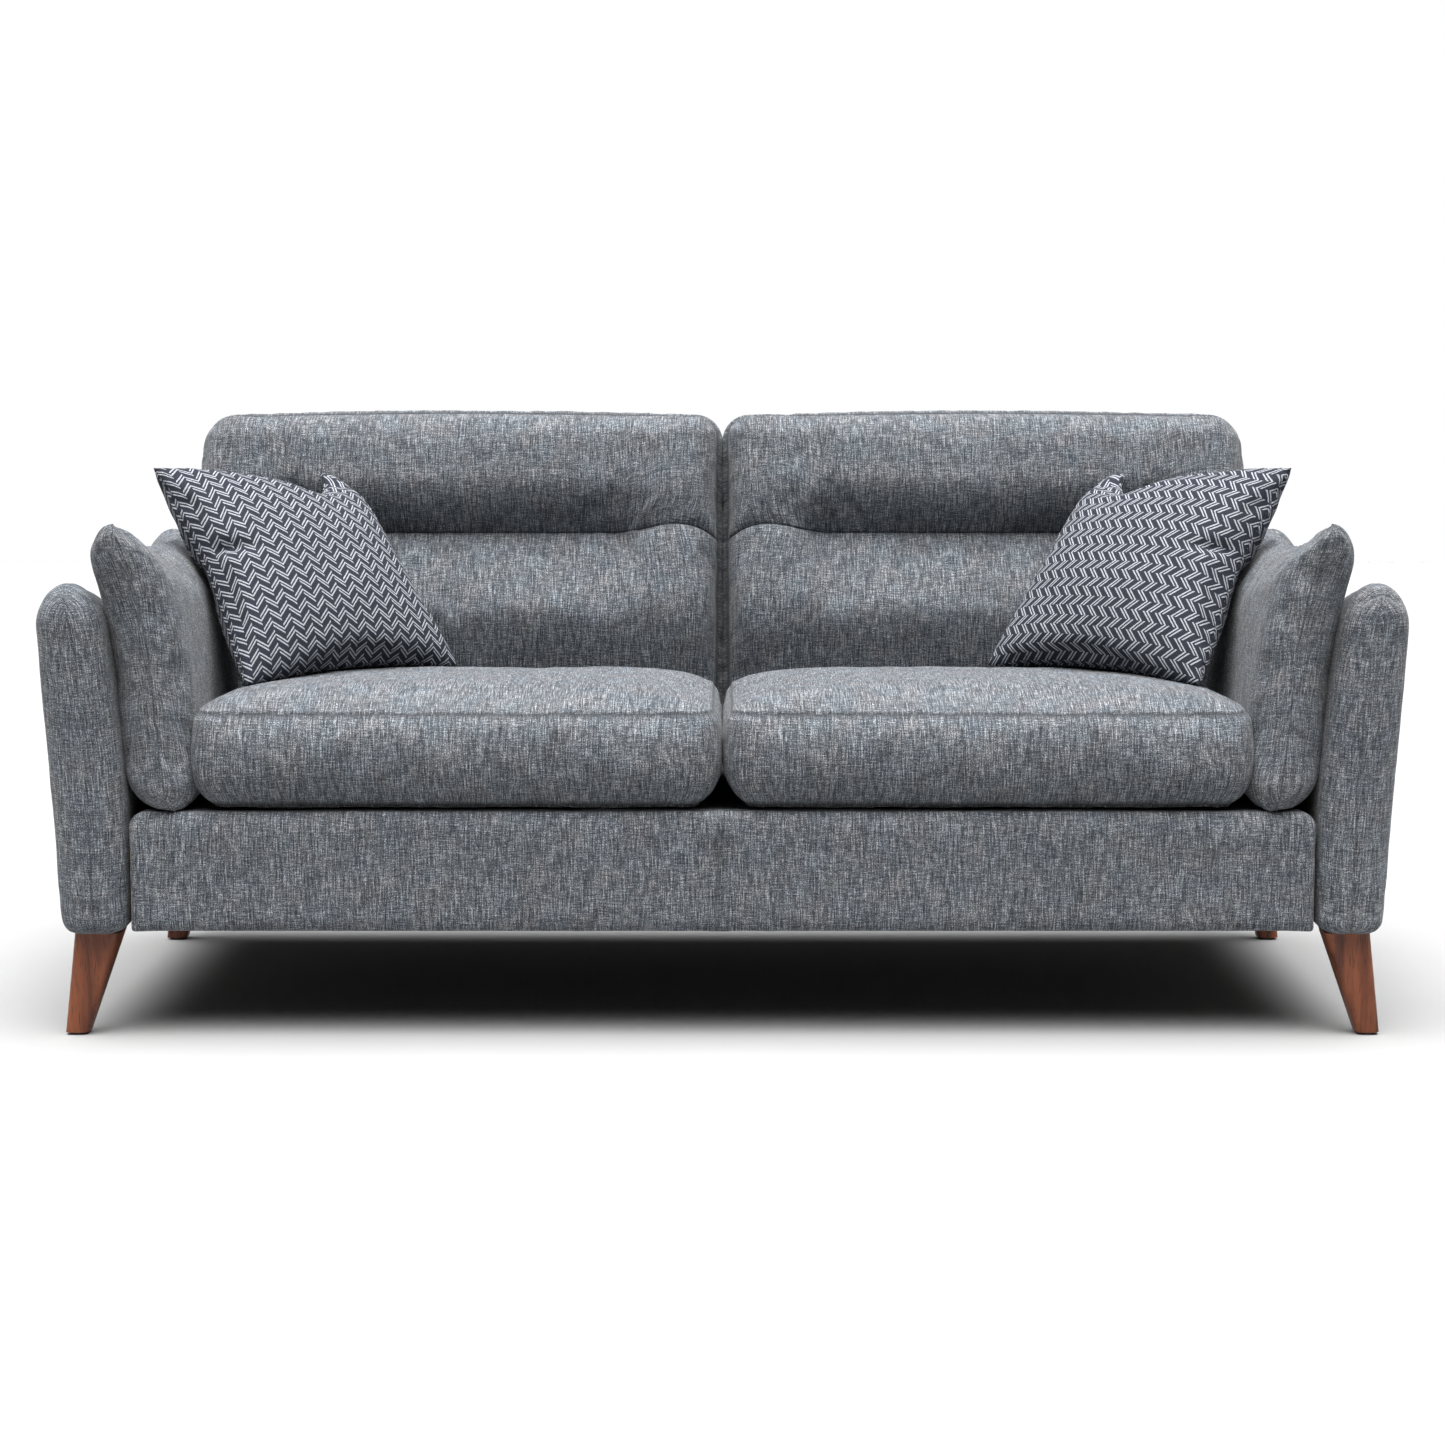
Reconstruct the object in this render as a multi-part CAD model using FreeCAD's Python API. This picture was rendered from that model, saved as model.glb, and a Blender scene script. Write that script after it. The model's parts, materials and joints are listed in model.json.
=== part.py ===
"""Three-seat upholstered sofa on splayed wooden legs.

Millimetres. X runs across the sofa (left is negative, seen from the front), Y from the front to the
back, and Z up. The origin is on the floor, in the middle of the footprint. Nodes with a left and a
right version are modelled once, on the right, and mirrored.
"""

import FreeCAD
import Part
import math
import os

V = FreeCAD.Vector

# ---- driving dimensions ------------------------------------------------------------------------
HALF_WIDTH = 1040.0      # outermost point of an arm
FRONT_Y = -480.0         # nose of the arms
REAR_Y = 480.0           # outer back, at its top
TOP_Z = 948.0            # top of the back cushions

LEG_HEIGHT = 159.0       # floor to the leg's top face
GLIDE_THICK = 4.0
LEG_TOP_SIZE = 69.0
LEG_FOOT_SIZE = 36.0
LEG_TOP_X = 955.0
LEG_FOOT_X = 990.0       # the foot is splayed outwards
FRONT_LEG_TOP_Y = -415.0
REAR_LEG_TOP_Y = 368.0
PLATE = 52.0             # square steel plate between a leg and the arm
LEG_SPLAY_Y = 10.0       # front feet lean forwards and rear feet backwards

BASE_Z = 160.0           # underside of the upholstered body
RAIL_Z = 163.0           # underside of the frame timbers
RAIL_TOP_Z = 318.0
BASE_HALF_X = 903.0      # the base sits between the arms
RAIL = 26.0              # thickness of the base rails
FRONT_RAIL_Y = -438.0    # front face of the front rail
REAR_RAIL_Y = 328.0      # rear face of the rear rail
DECK_TOP_Z = 345.0

RAKE = 12.0              # the back leans this many degrees
SLOPE = math.tan(math.radians(RAKE))
BACK_INNER_Y = 309.0     # padded inner back, at the height of the deck
PADDING = 16.0           # foam and cover over the frame of the arms and back

SEAT_BOTTOM_Z = 350.0
SEAT_TOP_Z = 512.0
SEAT_FRONT_Y = -472.0
SEAT_REAR_Y = 105.0
SEAT_OUTER_X = 811.0
CENTRE_GAP = 4.0         # half of the gap between the left and right cushions
BACK_CUSHION_THICK = 190.0
BACK_CUSHION_X = 912.0
COVER = 2.5              # thickness of a cushion's cover
SLACK = 0.5              # room between a cover and its filling

SCATTER_SIZE = 430.0     # from ear to ear
SCATTER_BOW = 26.0       # how far each side bows in between its ears
SCATTER_THICK = 130.0
BOLT_R = 4.0
HOLE_R = 4.6
SPRINGS_PER_SIDE = 6


# ---- helpers -----------------------------------------------------------------------------------
def box(x, y, z):
    """A block from three (low, high) pairs."""
    return Part.makeBox(x[1] - x[0], y[1] - y[0], z[1] - z[0], V(x[0], y[0], z[0]))


def rod(r, start, end):
    axis = V(*end) - V(*start)
    return Part.makeCylinder(r, axis.Length, V(*start), axis)


def ring(points):
    return Part.makePolygon([V(*p) for p in points] + [V(*points[0])])


def prism_x(outline, low, high):
    """An outline of (y, z) points, extruded along X."""
    return Part.Face(ring([(low, y, z) for y, z in outline])).extrude(V(high - low, 0, 0))


def prism_y(outline, low, high):
    """An outline of (x, z) points, extruded along Y."""
    return Part.Face(ring([(x, low, z) for x, z in outline])).extrude(V(0, high - low, 0))


def prism_z(outline, low, high):
    return Part.Face(ring([(x, y, low) for x, y in outline])).extrude(V(0, 0, high - low))


def squeezed(outline, gap):
    """An outline scaled about its middle, so that each outermost side moves inwards by gap."""
    across = [point[0] for point in outline]
    up = [point[1] for point in outline]
    middle = ((min(across) + max(across)) / 2, (min(up) + max(up)) / 2)
    scale = (1 - 2 * gap / (max(across) - min(across)), 1 - 2 * gap / (max(up) - min(up)))
    return [(middle[0] + (x - middle[0]) * scale[0], middle[1] + (z - middle[1]) * scale[1])
            for x, z in outline]


def loft_y(sections):
    """A solid with flat sides through sections, each a (y, outline of (x, z) points) pair."""
    wires = [ring([(x, y, z) for x, z in outline]) for y, outline in sections]
    return Part.makeLoft(wires, True, True)


def mirrored(shape):
    return shape.mirror(V(0, 0, 0), V(1, 0, 0))


def cushion_block(x, y, z, radius):
    block = box(x, y, z)
    return block.makeFillet(radius, block.Edges)


def padded_pair(x, y, z, radius):
    """A cover shell and the filling inside it."""
    def shrunk(gap):
        spans = [(low + gap, high - gap) for low, high in (x, y, z)]
        return cushion_block(*spans, radius - gap)
    return shrunk(0).cut(shrunk(COVER)), shrunk(COVER + SLACK)


def raked(shape):
    """Leans a shape made upright over the line at the foot of the inner back."""
    leaned = shape.copy()
    leaned.rotate(V(0, BACK_INNER_Y, DECK_TOP_Z), V(1, 0, 0), -RAKE)
    return leaned


def save(name, *shapes):
    solid = shapes[0] if len(shapes) == 1 else Part.makeCompound(list(shapes))
    if not solid.isValid():
        raise ValueError(name + " is not a valid shape")
    for piece in solid.Solids:
        if piece.Volume <= 0:
            raise ValueError(name + " has a solid with no volume")
    solid.exportStep("parts/" + name + ".step")


def save_both(name, shape):
    save(name + "_right", shape)
    save(name + "_left", mirrored(shape))


# ---- legs --------------------------------------------------------------------------------------
def rounded_square(cx, cy, z, size, radius):
    half, flat = size / 2, size / 2 - radius
    bend = radius * math.sqrt(0.5)
    edges = []
    for k in range(4):
        turn = k * math.pi / 2

        def at(x, y):
            return V(cx + x * math.cos(turn) - y * math.sin(turn),
                     cy + x * math.sin(turn) + y * math.cos(turn), z)
        edges.append(Part.LineSegment(at(half, -flat), at(half, flat)).toShape())
        middle = at(flat + bend, flat + bend)
        edges.append(Part.Arc(at(half, flat), middle, at(flat, half)).toShape())
    return Part.Wire(edges)


def leg_places():
    """(name, top Y, foot Y) of the legs on the right."""
    return (("front", FRONT_LEG_TOP_Y, FRONT_LEG_TOP_Y - LEG_SPLAY_Y),
            ("rear", REAR_LEG_TOP_Y, REAR_LEG_TOP_Y + LEG_SPLAY_Y))


def make_legs():
    plates, bolts, screws, glides = [], [], [], []
    thread_z = (LEG_HEIGHT - 38.0, RAIL_Z + 20.0)
    for name, top_y, foot_y in leg_places():
        foot = rounded_square(LEG_FOOT_X, foot_y, GLIDE_THICK, LEG_FOOT_SIZE, 9.0)
        top = rounded_square(LEG_TOP_X, top_y, LEG_HEIGHT, LEG_TOP_SIZE, 11.0)
        leg = Part.makeLoft([foot, top], True, True)
        centre = (LEG_TOP_X, top_y)
        leg = leg.cut(rod(BOLT_R, (*centre, thread_z[0] - 2.0), (*centre, LEG_HEIGHT)))
        save("leg_" + name + "_right", leg)
        save("leg_" + name + "_left", mirrored(leg))
        sides = [(middle - PLATE / 2, middle + PLATE / 2) for middle in centre]
        plate = box(*sides, (LEG_HEIGHT + 0.5, RAIL_Z - 0.2))
        plate = plate.cut(rod(BOLT_R, (*centre, LEG_HEIGHT), (*centre, RAIL_Z)))
        bolt = rod(BOLT_R - 0.1, (*centre, thread_z[0]), (*centre, thread_z[1]))
        glide = rod(14.0, (LEG_FOOT_X, foot_y, 0), (LEG_FOOT_X, foot_y, GLIDE_THICK))
        plates += [plate, mirrored(plate)]
        bolts += [bolt, mirrored(bolt)]
        glides += [glide, mirrored(glide)]
        for dx in (-19, 19):
            for dy in (-19, 19):
                x, y = LEG_TOP_X + dx, top_y + dy
                screw = rod(2.0, (x, y, LEG_HEIGHT + 2.0), (x, y, RAIL_Z + 16.0))
                screw = screw.fuse(rod(4.0, (x, y, LEG_HEIGHT + 1.0), (x, y, LEG_HEIGHT + 2.5)))
                screws += [screw, mirrored(screw)]
    save("leg_plates", *plates)
    save("leg_bolts", *bolts)
    save("leg_screws", *screws)
    save("leg_glides", *glides)


# ---- base frame --------------------------------------------------------------------------------
ARM_BOLT_Y = (-340.0, -20.0, 270.0)
ARM_BOLT_Z = 250.0
BACK_BOLTS = ((-855.0, 262.0), (-855.0, 300.0), (0.0, 300.0), (855.0, 262.0), (855.0, 300.0))   # (x, z)
POST_X = 855.0
POST_THICK = 30.0


def arm_bolt_holes():
    holes = [rod(HOLE_R, (BASE_HALF_X - 60, y, ARM_BOLT_Z), (980.0, y, ARM_BOLT_Z)) for y in ARM_BOLT_Y]
    return Part.makeCompound(holes)


def back_bolt_holes():
    holes = [rod(HOLE_R, (x, REAR_RAIL_Y - 60, z), (x, 395.0, z)) for x, z in BACK_BOLTS]
    return Part.makeCompound(holes)


def make_base():
    inner_x = BASE_HALF_X - RAIL
    inner_y = (FRONT_RAIL_Y + RAIL + 0.5, REAR_RAIL_Y - RAIL - 0.5)
    heights = (RAIL_Z, RAIL_TOP_Z)
    across = (-BASE_HALF_X, BASE_HALF_X)
    save("front_rail", box(across, (FRONT_RAIL_Y, FRONT_RAIL_Y + RAIL), heights))
    rear = box(across, (REAR_RAIL_Y - RAIL, REAR_RAIL_Y), heights)
    save("rear_rail", rear.cut(back_bolt_holes()))
    save_both("end_rail", box((inner_x, BASE_HALF_X), inner_y, heights).cut(arm_bolt_holes()))
    save("centre_rail", box((-RAIL / 2, RAIL / 2), inner_y, (RAIL_Z, 290.0)))

    leg = 66.0
    blocks = []
    for y, way in ((inner_y[0], 1), (inner_y[1], -1)):
        edge = inner_x - 0.5
        near = y + 0.5 * way
        block = prism_z([(edge, near), (edge - leg, near), (edge, near + leg * way)], 188.0, 238.0)
        blocks += [block, mirrored(block)]
    save("corner_blocks", *blocks)
    cloth = (BASE_Z + 0.5, BASE_Z + 2.0)
    under_back = box((-885, 885), (REAR_RAIL_Y - 1, 425), cloth)
    under_base = box((-900, 900), (FRONT_RAIL_Y + 2, REAR_RAIL_Y), cloth)
    save("dust_cover", under_base.fuse(under_back).removeSplitter())
    save("seat_deck", box((-inner_x + 3, inner_x - 3), (FRONT_RAIL_Y + RAIL + 2, REAR_RAIL_Y - RAIL - 2),
                          (DECK_TOP_Z - 12, DECK_TOP_Z)))
    make_springs(inner_x)
    make_border()


def serpentine(x, start_y, end_y, z):
    """The centreline of a sinuous spring: straight runs across X, joined by half-round turns."""
    half_run, turns = 20.0, 31
    pitch = (end_y - start_y) / turns
    r = pitch / 2
    edges = []
    side = 1
    y = start_y
    for k in range(turns):
        edges.append(Part.LineSegment(V(x - side * half_run, y, z), V(x + side * half_run, y, z)).toShape())
        edges.append(Part.Arc(V(x + side * half_run, y, z), V(x + side * (half_run + r), y + r, z),
                              V(x + side * half_run, y + pitch, z)).toShape())
        y += pitch
        side = -side
    edges.append(Part.LineSegment(V(x - side * half_run, y, z), V(x + side * half_run, y, z)).toShape())
    return Part.Wire(edges)


def make_springs(inner_x):
    """Wire springs from the front rail to the rear rail, held by folded clips on the rails' top."""
    wire_r, z = 1.9, RAIL_TOP_Z + 4.5
    ends = (FRONT_RAIL_Y + RAIL / 2, REAR_RAIL_Y - RAIL / 2)
    pitch = inner_x / SPRINGS_PER_SIDE
    springs, clips = [], []
    for k in range(SPRINGS_PER_SIDE):
        x = pitch * (k + 0.5)
        path = serpentine(x, ends[0], ends[1], z)
        profile = Part.Wire(Part.makeCircle(wire_r, V(x - 20.0, ends[0], z), V(1, 0, 0)))
        spring = path.makePipeShell([profile], True, False)
        springs += [spring, mirrored(spring)]
        for y in ends:
            clip = box((x - 9, x + 9), (y - 7, y + 7), (RAIL_TOP_Z + 0.2, z + 3.5))
            clips += [clip, mirrored(clip)]
    save("seat_springs", *springs)
    save("spring_clips", *clips)


def make_border():
    """The padded front border: a front wall, and a lip over the front rail."""
    front, inner, top = -465.0, FRONT_RAIL_Y - 2, DECK_TOP_Z + 2
    lip = FRONT_RAIL_Y + RAIL
    outline = [(front, BASE_Z), (front, top - 16), (front + 5, top - 5), (front + 16, top),
               (lip, top), (lip, DECK_TOP_Z - 13), (inner, DECK_TOP_Z - 13), (inner, BASE_Z)]
    border = prism_x(outline, -BASE_HALF_X, BASE_HALF_X)
    corner = [(BASE_HALF_X - 26, top + 1), (BASE_HALF_X - 11, top - 5), (BASE_HALF_X - 3, top - 16),
              (BASE_HALF_X, top - 30), (BASE_HALF_X + 1, top + 1)]
    cutter = prism_y(corner, front - 5, lip + 5)
    save("front_border", border.cut(cutter).cut(mirrored(cutter)))


# ---- arms --------------------------------------------------------------------------------------
ARM_TOP_Z = 693.0
ARM_STATIONS = ((-472.0, 686.0), (-440.0, 693.0), (-300.0, 672.0), (-120.0, 643.0), (80.0, 640.0),
                (250.0, 680.0), (380.0, 738.0), (440.0, 744.0), (462.0, 738.0))


def arm_outline(top):
    """Right arm, seen from the front: the sides lean outwards, and the top slopes in from its peak."""
    lift = top - ARM_TOP_Z
    return [(909, BASE_Z), (992, BASE_Z), (1007, 186), (1015, 320), (1031, 548), (1040, 628 + lift),
            (1032, 668 + lift), (1015, 687 + lift), (992, 693 + lift), (972, 686 + lift),
            (952, 664 + lift), (941, 628 + lift), (929, 548), (915, 420), (909, 345)]


def arm_body(gap):
    """The arm's padded shape, with every side moved inwards by gap."""
    sections = []
    for k, (y, top) in enumerate(ARM_STATIONS):
        if k == 0:
            sections.append((y - 8.0 + gap, squeezed(arm_outline(top), 22.0 + gap)))
            sections.append((y + 12.0 + gap, squeezed(arm_outline(top), 5.0 + gap)))
        elif k == len(ARM_STATIONS) - 1:
            sections.append((y - 8.0 - gap, squeezed(arm_outline(top), 5.0 + gap)))
            sections.append((y + 6.0 - gap, squeezed(arm_outline(top), 20.0 + gap)))
        else:
            sections.append((y, squeezed(arm_outline(top), gap) if gap else arm_outline(top)))
    return loft_y(sections)


def make_arms():
    bottom_x = (928.0, 982.0)
    hollow = arm_body(PADDING)
    hatch = box((926.5, 983.5), (-446.0, 410.0), (BASE_Z - 5, BASE_Z + PADDING + 20))
    cover = arm_body(0.0).cut(hollow).cut(hatch).cut(arm_bolt_holes())
    save_both("arm_cover", cover)

    panel = squeezed(arm_outline(ARM_TOP_Z), PADDING + 6.0)
    front = prism_y([(x, max(z, RAIL_Z + 29)) for x, z in panel], -438.0, -420.0)
    save_both("arm_front_panel", front)
    rear_panel = squeezed(arm_outline(720.0), PADDING + 6.0)
    rear = prism_y([(x, max(z, RAIL_Z + 29)) for x, z in rear_panel], 392.0, 410.0)
    save_both("arm_rear_panel", rear)

    bottom = box(bottom_x, (-438.0, 408.0), (RAIL_Z, RAIL_Z + 28))
    for _, y, _ in leg_places():
        bottom = bottom.cut(rod(BOLT_R, (LEG_TOP_X, y, RAIL_Z - 1), (LEG_TOP_X, y, RAIL_Z + 23)))
    save_both("arm_bottom_rail", bottom)
    inner = box((928.0, 950.0), (-419.5, 391.5), (RAIL_Z + 29, RAIL_Z + 140))
    save_both("arm_inner_rail", inner.cut(arm_bolt_holes()))
    top = [(968, 575), (1008, 575), (1012, 603), (972, 603)]
    save_both("arm_top_rail", prism_y(top, -419.5, 391.5))
    make_arm_bolts()


def make_arm_bolts():
    """Bolts from inside the arm, through its inner rail and into the base, each with a nut."""
    pieces = []
    for y in ARM_BOLT_Y:
        head = rod(8.0, (950.5, y, ARM_BOLT_Z), (956.0, y, ARM_BOLT_Z))
        shank = rod(BOLT_R, (BASE_HALF_X - 38, y, ARM_BOLT_Z), (951.0, y, ARM_BOLT_Z))
        bolt = head.fuse(shank)
        face = BASE_HALF_X - RAIL - 0.3
        nut = rod(8.0, (face - 7.0, y, ARM_BOLT_Z), (face, y, ARM_BOLT_Z))
        nut = nut.cut(rod(BOLT_R + 0.1, (face - 8.0, y, ARM_BOLT_Z), (face + 1.0, y, ARM_BOLT_Z)))
        for piece in (bolt, nut):
            pieces += [piece, mirrored(piece)]
    save("arm_bolts", *pieces)


# ---- back --------------------------------------------------------------------------------------
POST_TOP_Z = 744.0


def inner_back(z, gap=0.0):
    """Y of the raked inner back at a height, gap behind its surface."""
    return BACK_INNER_Y + (z - DECK_TOP_Z) * SLOPE + gap


def back_outline(gap):
    """The padded back, seen from the side. Its inner face is raked, and it steps in behind the base."""
    low_front = REAR_RAIL_Y + 4.0 + gap
    foot_z = DECK_TOP_Z + gap
    return [(low_front, BASE_Z), (low_front, foot_z), (inner_back(foot_z, gap), foot_z),
            (inner_back(770, gap), 770), (inner_back(790, gap) + 3, 797 - gap * 0.8), (438, 812 - gap),
            (466 - gap * 0.5, 802 - gap), (REAR_Y - gap, 778 - gap * 0.4), (446 - gap, BASE_Z)]


def back_face(gap):
    """The padded back, seen from the front: it widens upwards with the arms, up to round shoulders."""
    right = [(BASE_HALF_X, BASE_Z), (BASE_HALF_X, DECK_TOP_Z), (909, 420), (923, 548), (931, 628),
             (929, 700), (912, 752), (880, 785), (830, 803), (760, 813)]
    return squeezed(right + [(-x, z) for x, z in reversed(right)], gap)


def back_body(gap):
    reach = HALF_WIDTH
    side = prism_x(back_outline(gap), -reach, reach)
    return side.common(prism_y(back_face(gap), BACK_INNER_Y - 20, REAR_Y + 10))


def make_back():
    reach = BASE_HALF_X - PADDING
    open_foot = box((-reach, reach), (REAR_RAIL_Y + 2, 426), (BASE_Z - 5, DECK_TOP_Z - 16))
    cover = back_body(0.0).cut(back_body(PADDING)).cut(open_foot)
    save("back_cover", cover)

    front = PADDING + 6.0
    post = [(352, RAIL_Z), (352, 368), (inner_back(374, front), 374),
            (inner_back(POST_TOP_Z, front), POST_TOP_Z), (454, POST_TOP_Z), (424, RAIL_Z)]
    for name, x in (("left", -POST_X), ("centre", 0.0), ("right", POST_X)):
        timber = prism_x(post, x - POST_THICK / 2, x + POST_THICK / 2)
        save("back_post_" + name, timber.cut(back_bolt_holes()))
    reach = POST_X - POST_THICK / 2 - 0.3
    top = (POST_TOP_Z + 0.3, POST_TOP_Z + 22)
    save("back_top_rail", box((-POST_X, POST_X), (422.0, 454.0), top))
    lower = box((POST_THICK / 2 + 0.3, reach), (356.0, 400.0), (318.0, 352.0))
    save("back_lower_rail", lower, mirrored(lower))
    make_webbing()
    make_back_bolts()


def make_webbing():
    """Elastic webbing straps, stretched across the front of the posts."""
    straps = []
    for z in (430.0, 515.0, 600.0, 685.0):
        low, high = z - 30, z + 30
        near, far = PADDING + 2.6, PADDING + 4.6
        outline = [(inner_back(low, near), low), (inner_back(high, near), high),
                   (inner_back(high, far), high), (inner_back(low, far), low)]
        straps.append(prism_x(outline, -POST_X - 14, POST_X + 14))
    save("back_webbing", *straps)


def make_back_bolts():
    """Bolts from inside the base, through its rear rail and into the posts."""
    face = REAR_RAIL_Y - RAIL - 0.3
    pieces = []
    for x, z in BACK_BOLTS:
        head = rod(8.0, (x, face - 5.5, z), (x, face, z))
        pieces.append(head.fuse(rod(BOLT_R, (x, face - 0.5, z), (x, 392.0, z))))
    save("back_bolts", *pieces)


# ---- cushions ----------------------------------------------------------------------------------
def make_seat_cushions():
    across = (CENTRE_GAP, SEAT_OUTER_X)
    along = (SEAT_FRONT_Y, SEAT_REAR_Y)
    cover, foam = padded_pair(across, along, (SEAT_BOTTOM_Z, SEAT_TOP_Z), 48.0)
    save_both("seat_cover", cover)
    save_both("seat_foam", foam)
    middle, z = (CENTRE_GAP + SEAT_OUTER_X) / 2, (SEAT_BOTTOM_Z + SEAT_TOP_Z) / 2
    half = 290.0
    face = SEAT_REAR_Y + 0.3
    zip_tape = box((middle - half, middle + half), (face, face + 1.0), (z - 14, z + 14))
    teeth = box((middle - half + 6, middle + half - 6), (face + 1.0, face + 2.6), (z - 3, z + 3))
    save_both("seat_zip", zip_tape.fuse(teeth))
    start = middle - half + 14
    slider = box((start - 6, start + 6), (face + 2.9, face + 5.4), (z - 5.5, z + 5.5))
    tab = box((start - 3, start + 3), (face + 5.0, face + 6.6), (z - 26, z - 3))
    save_both("seat_zip_slider", slider.fuse(tab))


def make_back_cushions():
    """Cushions standing on the deck, as tall as brings their rounded, leaning top to TOP_Z."""
    radius, foot = 52.0, DECK_TOP_Z + 3
    lean = math.radians(RAKE)
    rear = BACK_INNER_Y - 3.0
    front_rise = (BACK_CUSHION_THICK - radius + 3.0) * math.sin(lean)
    height = (TOP_Z - DECK_TOP_Z - radius - front_rise) / math.cos(lean) + radius - 3.0
    cover, fill = padded_pair((CENTRE_GAP, BACK_CUSHION_X), (rear - BACK_CUSHION_THICK, rear),
                              (foot, foot + height), radius)
    save_both("back_cushion_cover", raked(cover))
    save_both("back_cushion_fill", raked(fill))


def arm_cushion_outline():
    """Right arm cushion, seen from the front: it leans outwards on the arm, with its seam at the top."""
    return [(850, 348), (884, 362), (900, 400), (906, 450), (920, 540), (932, 600), (943, 660),
            (946, 712), (938, 740), (915, 756), (884, 738), (852, 696), (834, 640), (825, 570),
            (820, 480), (820, 400), (828, 362)]


def arm_cushion_body(gap):
    outline = squeezed(arm_cushion_outline(), gap) if gap else arm_cushion_outline()
    blunt = squeezed(arm_cushion_outline(), 24.0 + gap)
    return loft_y([(-466.0 + gap, blunt), (-440.0, outline), (60.0, outline), (92.0 - gap, blunt)])


def make_arm_cushions():
    save_both("arm_cushion_cover", arm_cushion_body(0.0).cut(arm_cushion_body(COVER)))
    save_both("arm_cushion_fill", arm_cushion_body(COVER + SLACK))


def eared_square(half, bow, z):
    """A square with pointed corners: each side bows inwards at its middle."""
    points = []
    for k in range(4):
        turn = k * math.pi / 2
        cos, sin = math.cos(turn), math.sin(turn)
        for x, y in ((half, -half), (half - bow, 0)):
            points.append((x * cos - y * sin, x * sin + y * cos, z))
    return ring(points)


def pillow(gap):
    """A square knife-edged pillow lying flat at the origin."""
    half, thick = SCATTER_SIZE / 2 - gap * 2.4, SCATTER_THICK / 2 - gap
    levels = ((0.52, 0.0, -1.0), (0.80, 0.4, -0.62), (1.0, 1.0, 0.0), (0.80, 0.4, 0.62), (0.52, 0.0, 1.0))
    rings = [eared_square(half * size, SCATTER_BOW * bow, thick * level) for size, bow, level in levels]
    return Part.makeLoft(rings, True, True)


def place_scatter(shape):
    """Sets the right pillow in its corner: its outer side is nearer the front, and its top leans back."""
    across = V(-0.70, 0.71, 0.02)
    across.normalize()
    up = V(0.44, 0.45, 0.775)
    up = up - across * up.dot(across)
    up.normalize()
    out = up.cross(across)
    centre = V(692.0, -42.0, 689.0)
    placed = shape.copy()
    placed.Placement = FreeCAD.Placement(FreeCAD.Matrix(
        across.x, up.x, out.x, centre.x,
        across.y, up.y, out.y, centre.y,
        across.z, up.z, out.z, centre.z,
        0, 0, 0, 1))
    return placed


def make_scatter_cushions():
    save_both("scatter_cover", place_scatter(pillow(0.0).cut(pillow(COVER))))
    save_both("scatter_fill", place_scatter(pillow(COVER + SLACK)))


os.makedirs("parts", exist_ok=True)
make_legs()
make_base()
make_arms()
make_back()
make_seat_cushions()
make_back_cushions()
make_arm_cushions()
make_scatter_cushions()
print("all parts written")
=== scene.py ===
"""The sofa's looks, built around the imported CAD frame: padded covers, cloth, wood, metal, light, camera.

Metres, in the CAD's frame: X to the right as seen from the front, Y towards the back, Z up.

A soft piece starts as two panels of cloth, sewn together along their edges or along the edges of a
border between them. A short cloth simulation with air pressure fills it while its seams stay put.
Each vertex remembers where it lies on the flat cloth, so the weave follows the piece.
"""

import json
import math

import bpy
import numpy as np
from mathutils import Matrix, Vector, noise


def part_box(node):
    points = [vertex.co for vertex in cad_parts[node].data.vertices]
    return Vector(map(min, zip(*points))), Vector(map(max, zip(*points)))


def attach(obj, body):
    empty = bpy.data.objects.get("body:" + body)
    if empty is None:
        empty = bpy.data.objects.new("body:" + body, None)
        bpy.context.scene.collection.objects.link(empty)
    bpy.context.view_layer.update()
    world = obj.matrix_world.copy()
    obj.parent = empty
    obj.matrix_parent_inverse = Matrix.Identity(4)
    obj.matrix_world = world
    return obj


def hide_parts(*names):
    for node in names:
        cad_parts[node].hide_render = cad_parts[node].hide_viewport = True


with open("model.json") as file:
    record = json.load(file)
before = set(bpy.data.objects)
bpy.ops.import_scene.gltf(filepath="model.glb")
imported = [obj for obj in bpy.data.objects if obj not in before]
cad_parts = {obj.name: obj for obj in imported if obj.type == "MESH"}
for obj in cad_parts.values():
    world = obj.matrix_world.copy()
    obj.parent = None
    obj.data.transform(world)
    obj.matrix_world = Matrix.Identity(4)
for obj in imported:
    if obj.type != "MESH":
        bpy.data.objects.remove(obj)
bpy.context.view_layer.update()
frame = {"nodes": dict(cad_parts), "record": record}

# ---- driving dimensions ------------------------------------------------------------------------
CELL = 0.0085            # size of a cloth panel's cells before subdivision
SEAM_ROWS = (0.0020, 0.0060)   # close rows of cells beside a seam
GROOVE = 0.0023          # how far a seam lies under the cloth beside it
RAKE = math.radians(12.0)      # the back leans by this much
BODY_Z = 0.160           # underside of the upholstered body
DECK_Z = 0.345           # top of the platform that the cushions lie on
BACK_FOOT = Vector((0.0, 0.309, DECK_Z))   # the line at the foot of the inner back

CAMERA_AT = (0.0, -4.740, 0.940)
CAMERA_PITCH = math.radians(-6.08)
CAMERA_LENS = 71.05
SENSOR = 36.0


# ---- node helpers ------------------------------------------------------------------------------
def put(socket, value):
    """Sets an input, or links it when the value comes from another node."""
    if isinstance(value, Num):
        value = value.socket
    if isinstance(value, bpy.types.NodeSocket):
        socket.id_data.links.new(value, socket)
    else:
        socket.default_value = value


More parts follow.
